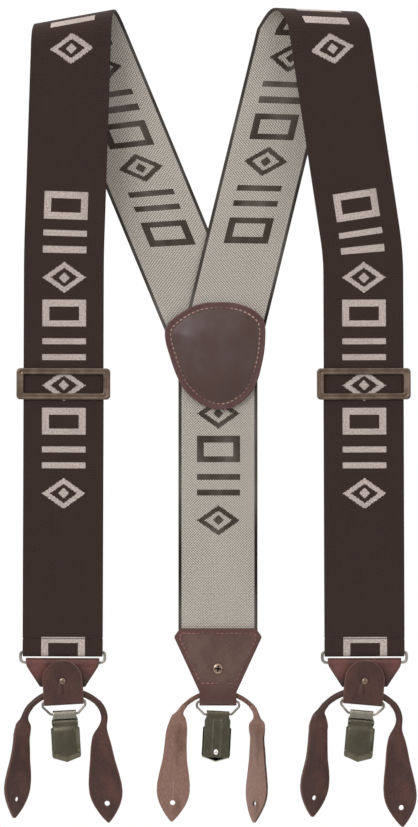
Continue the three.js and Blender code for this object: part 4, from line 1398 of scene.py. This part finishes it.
def loop(halfX, halfZ, corner, steps=8):
    points = []
    for k, (sx, sz) in enumerate(((1, -1), (1, 1), (-1, 1), (-1, -1))):
        start = -math.pi / 2 + k * math.pi / 2
        for i in range(steps + 1):
            turn = start + math.pi / 2 * i / steps
            points.append((sx * (halfX - corner) + corner * math.cos(turn),
                           sz * (halfZ - corner) + corner * math.sin(turn)))
    return points


def makeAdjuster(name, side):
    a = adjuster
    x, slope = legAt(side, heights["adjuster"])
    matrix = moved(x, -foldMiddle - webThick / 2 - gap, heights["adjuster"])
    matrix = matrix @ Matrix.Rotation(math.atan(slope), 4, "Y")
    points, faces = [], []
    for inward, lift in a["profile"]:
        corner = max(a["corner"] - inward * 0.45, 0.8)
        ring = loop(a["half"] - inward * a["sideWide"], a["tall"] / 2 - inward, corner)
        points += [matrix @ Vector((px, -lift, pz)) * metre for px, pz in ring]
    count = len(ring)
    rows = len(a["profile"])
    for row in range(rows):
        for i in range(count):
            j = (i + 1) % count
            p, q = row * count, (row + 1) % rows * count
            faces.append((p + i, p + j, q + j, q + i))
    piece = makePiece(f"{name}AdjusterFrame", points, faces, ["bronze"])
    faceOut(piece.data)
    sharpen(piece, 42)
    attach(piece, f"{name}_adjuster")
    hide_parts(f"{name}_adjuster_frame")
    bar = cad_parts[f"{name}_adjuster_bar"]
    for place in bar.material_slots:
        place.material = paints["bronze"]


front = {"yokeHalf": 23, "footHalf": 13.5, "yokeLong": 15.1, "pinch": 8, "flapHalf": 12.4, "flapTop": 1.8,
         "runner": 4.2, "runnerUp": -17.51, "rivetHead": 2.2, "rivetSunk": 0.25,
         "ringRadii": [2.2, 2.2, 3.3, 3.3], "ringThinner": 0.4}


def makeYoke(name, bar):
    # Folded over the ring, its two layers pinched together below.
    f = front
    curl, together = ringWire / 2 + gap + leather / 2, leather / 2 + gap / 2
    path = [(-together, -f["yokeLong"]), (-together, -f["pinch"])] + arc(0, 0, curl, math.pi, 0, 14)
    bend = Bend(eased(path + [(together, -f["pinch"]), (together, -f["yokeLong"])], 1), 1)

    def half(along):
        rows = [(-f["yokeLong"] - 1, f["footHalf"]), (-curl / 2 - 1, f["yokeHalf"] - 0.6),
                (curl * 0.2, f["yokeHalf"])]
        return table(rows, bend.at(along)[1])

    def place(flat):
        y, z = bend.at(flat.y, flat.z)
        puff = 0.9 * smoothstep(abs(flat.x), 12, 16) * smoothstep(-z, 1, 5) * (1 - smoothstep(-z, 5, 14))
        puff -= 0.5 * smoothstep(-z, 7, 14)
        return bar @ Vector((flat.x, y + (puff * 0.5 if y > 0 else -puff), z))
    piece = strip(f"{name}Yoke", bend.alongs(0.8), lambda along: (-half(along), half(along)), leather,
                  ["yokeHide", "innerFlesh", "rawEdge"], 18)
    rounded(piece, 0.36, 3)
    lay(piece, place, lambda flat: half(flat.y) - abs(flat.x))
    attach(piece, f"{name}_yoke")
    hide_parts(f"{name}_yoke")


def makeFlap(name, low):
    # Round-topped, over the yoke in front and behind, and round the bail at its foot.
    f = front
    over = ringWire / 2 + 2 * gap + 1.5 * leather
    beside = f["runner"] / 2 + gap + leather / 2
    top = bailWire / 2 + gap + leather / 2
    halfPath = [(over, f["flapTop"]), (over, -f["pinch"] / 2), (beside, -rivetDrop + f["rivetHead"] + gap),
                (beside, -flapDepth + bailWire + f["runner"] / 2 - gap)]
    path = [(-out, up) for out, up in halfPath] + arc(0, -flapDepth, top, math.pi, 2 * math.pi, 14)
    bend = Bend(eased(path + halfPath[::-1]), -1)
    crown = f["flapTop"] - f["flapHalf"]

    def half(along):
        z = bend.at(along)[1]
        return math.sqrt(max(f["flapHalf"] ** 2 - max(z - crown, 0) ** 2, 1.6))

    def place(flat):
        y, z = bend.at(flat.y, flat.z)
        lower = smoothstep(-z, rivetDrop + 1, rivetDrop + 3)
        lower *= 1 - smoothstep(-z, rivetDrop + 7, rivetDrop + 11)
        slant = flat.x + 0.35 * (-z - rivetDrop)
        fold = 1.2 * math.exp(-(flat.x / 0.55) ** 2) - 1.0 * math.exp(-(flat.x / 2.6) ** 2)
        crease = (fold + 0.25 * math.exp(-((slant + 1.6) / 0.8) ** 2)) * lower
        inward = crease + 0.35 * math.exp(-((flat.x ** 2 + (z + rivetDrop) ** 2) / 14))
        return low @ Vector((flat.x, y + (inward if y < 0 else -inward), z))
    rows = 90
    alongs = []
    for i in range(rows + 1):
        slow = 0.5 - 0.5 * math.cos(math.pi * i / rows)
        alongs.append(bend.total * slow * 0.35 + bend.total * i / rows * 0.65)
    piece = strip(f"{name}Flap", alongs, lambda along: (-half(along), half(along)), leather,
                  ["hide", "innerFlesh", "rawEdge"], 64)
    rounded(piece, 0.38, 3)
    lay(piece, place, lambda flat: min(half(flat.y) - abs(flat.x), flat.y, bend.total - flat.y))
    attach(piece, f"{name}_yoke")
    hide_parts(f"{name}_flap")


def makeFront(name, side):
    f = front
    hanger = moved(side["ringX"], ringY, heights["ring"]) @ turned(side["lean"])
    half = webHalf + gap + ringWire / 2
    makeWire(f"{name}Ring", [(-half, 0), (half, 0), (half, -ringDrop), (-half, -ringDrop)], f["ringRadii"],
             ringWire - f["ringThinner"], hanger, f"{name}_ring", f"{name}_ring")
    bar = hanger @ moved(0, 0, -ringDrop)
    makeYoke(name, bar)
    low = bar @ moved(0, 0, -rivetDrop) @ turned(side["tilt"] - side["lean"]) @ moved(0, 0, rivetDrop)
    makeFlap(name, low)
    over = f["runner"] / 2 + 2 * gap + leather - f["rivetSunk"]
    rivet = makeRivet(f"{name}Rivet", low @ moved(0, 0, -rivetDrop), over, f["rivetHead"])
    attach(rivet, f"{name}_yoke")
    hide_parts(f"{name}_rivet")
    makeTabs(name, low @ moved(0, 0, f["runnerUp"]), side["tabs"], f["runner"], side["tilt"], side["slide"],
             True)
    hook = low @ moved(0, 0, -flapDepth)
    makeBail(name, hook)
    makeClip(name, hook @ moved(0, 0, -bailHeight))


for name, side in sides.items():
    makeAdjuster(name, side)
    makeFront(name, side)
    print(name, "end hung")

rearTilt = -3.1
rearBase = moved(rearX, backY, heights["rearBail"])
makeTabs("rear", rearBase @ moved(0, 0, rearYoke["runnerUp"]), rearTabs, rearYoke["runner"], 0, 0, False)
rearTurned = rearBase @ Matrix.Rotation(math.pi, 4, "Z")
makeBail("rear", rearTurned)
makeClip("rear", rearTurned @ moved(0, 0, -bailHeight) @ turned(rearTilt))
print("rear end hung")


def makeFloor():
    # A pale card with rounded corners, below the tabs.
    reach = studio["floorHalf"]
    card = prism("floorCard", [(x, z) for x, z in loop(reach, reach, 60)], -4, 0, "floor")
    rounded(card, 1.5, 2, 40)
    card.data.transform(Matrix.Scale(metre, 4))
    card.location = (0, 0, studio["floorZ"] * metre)


makeFloor()
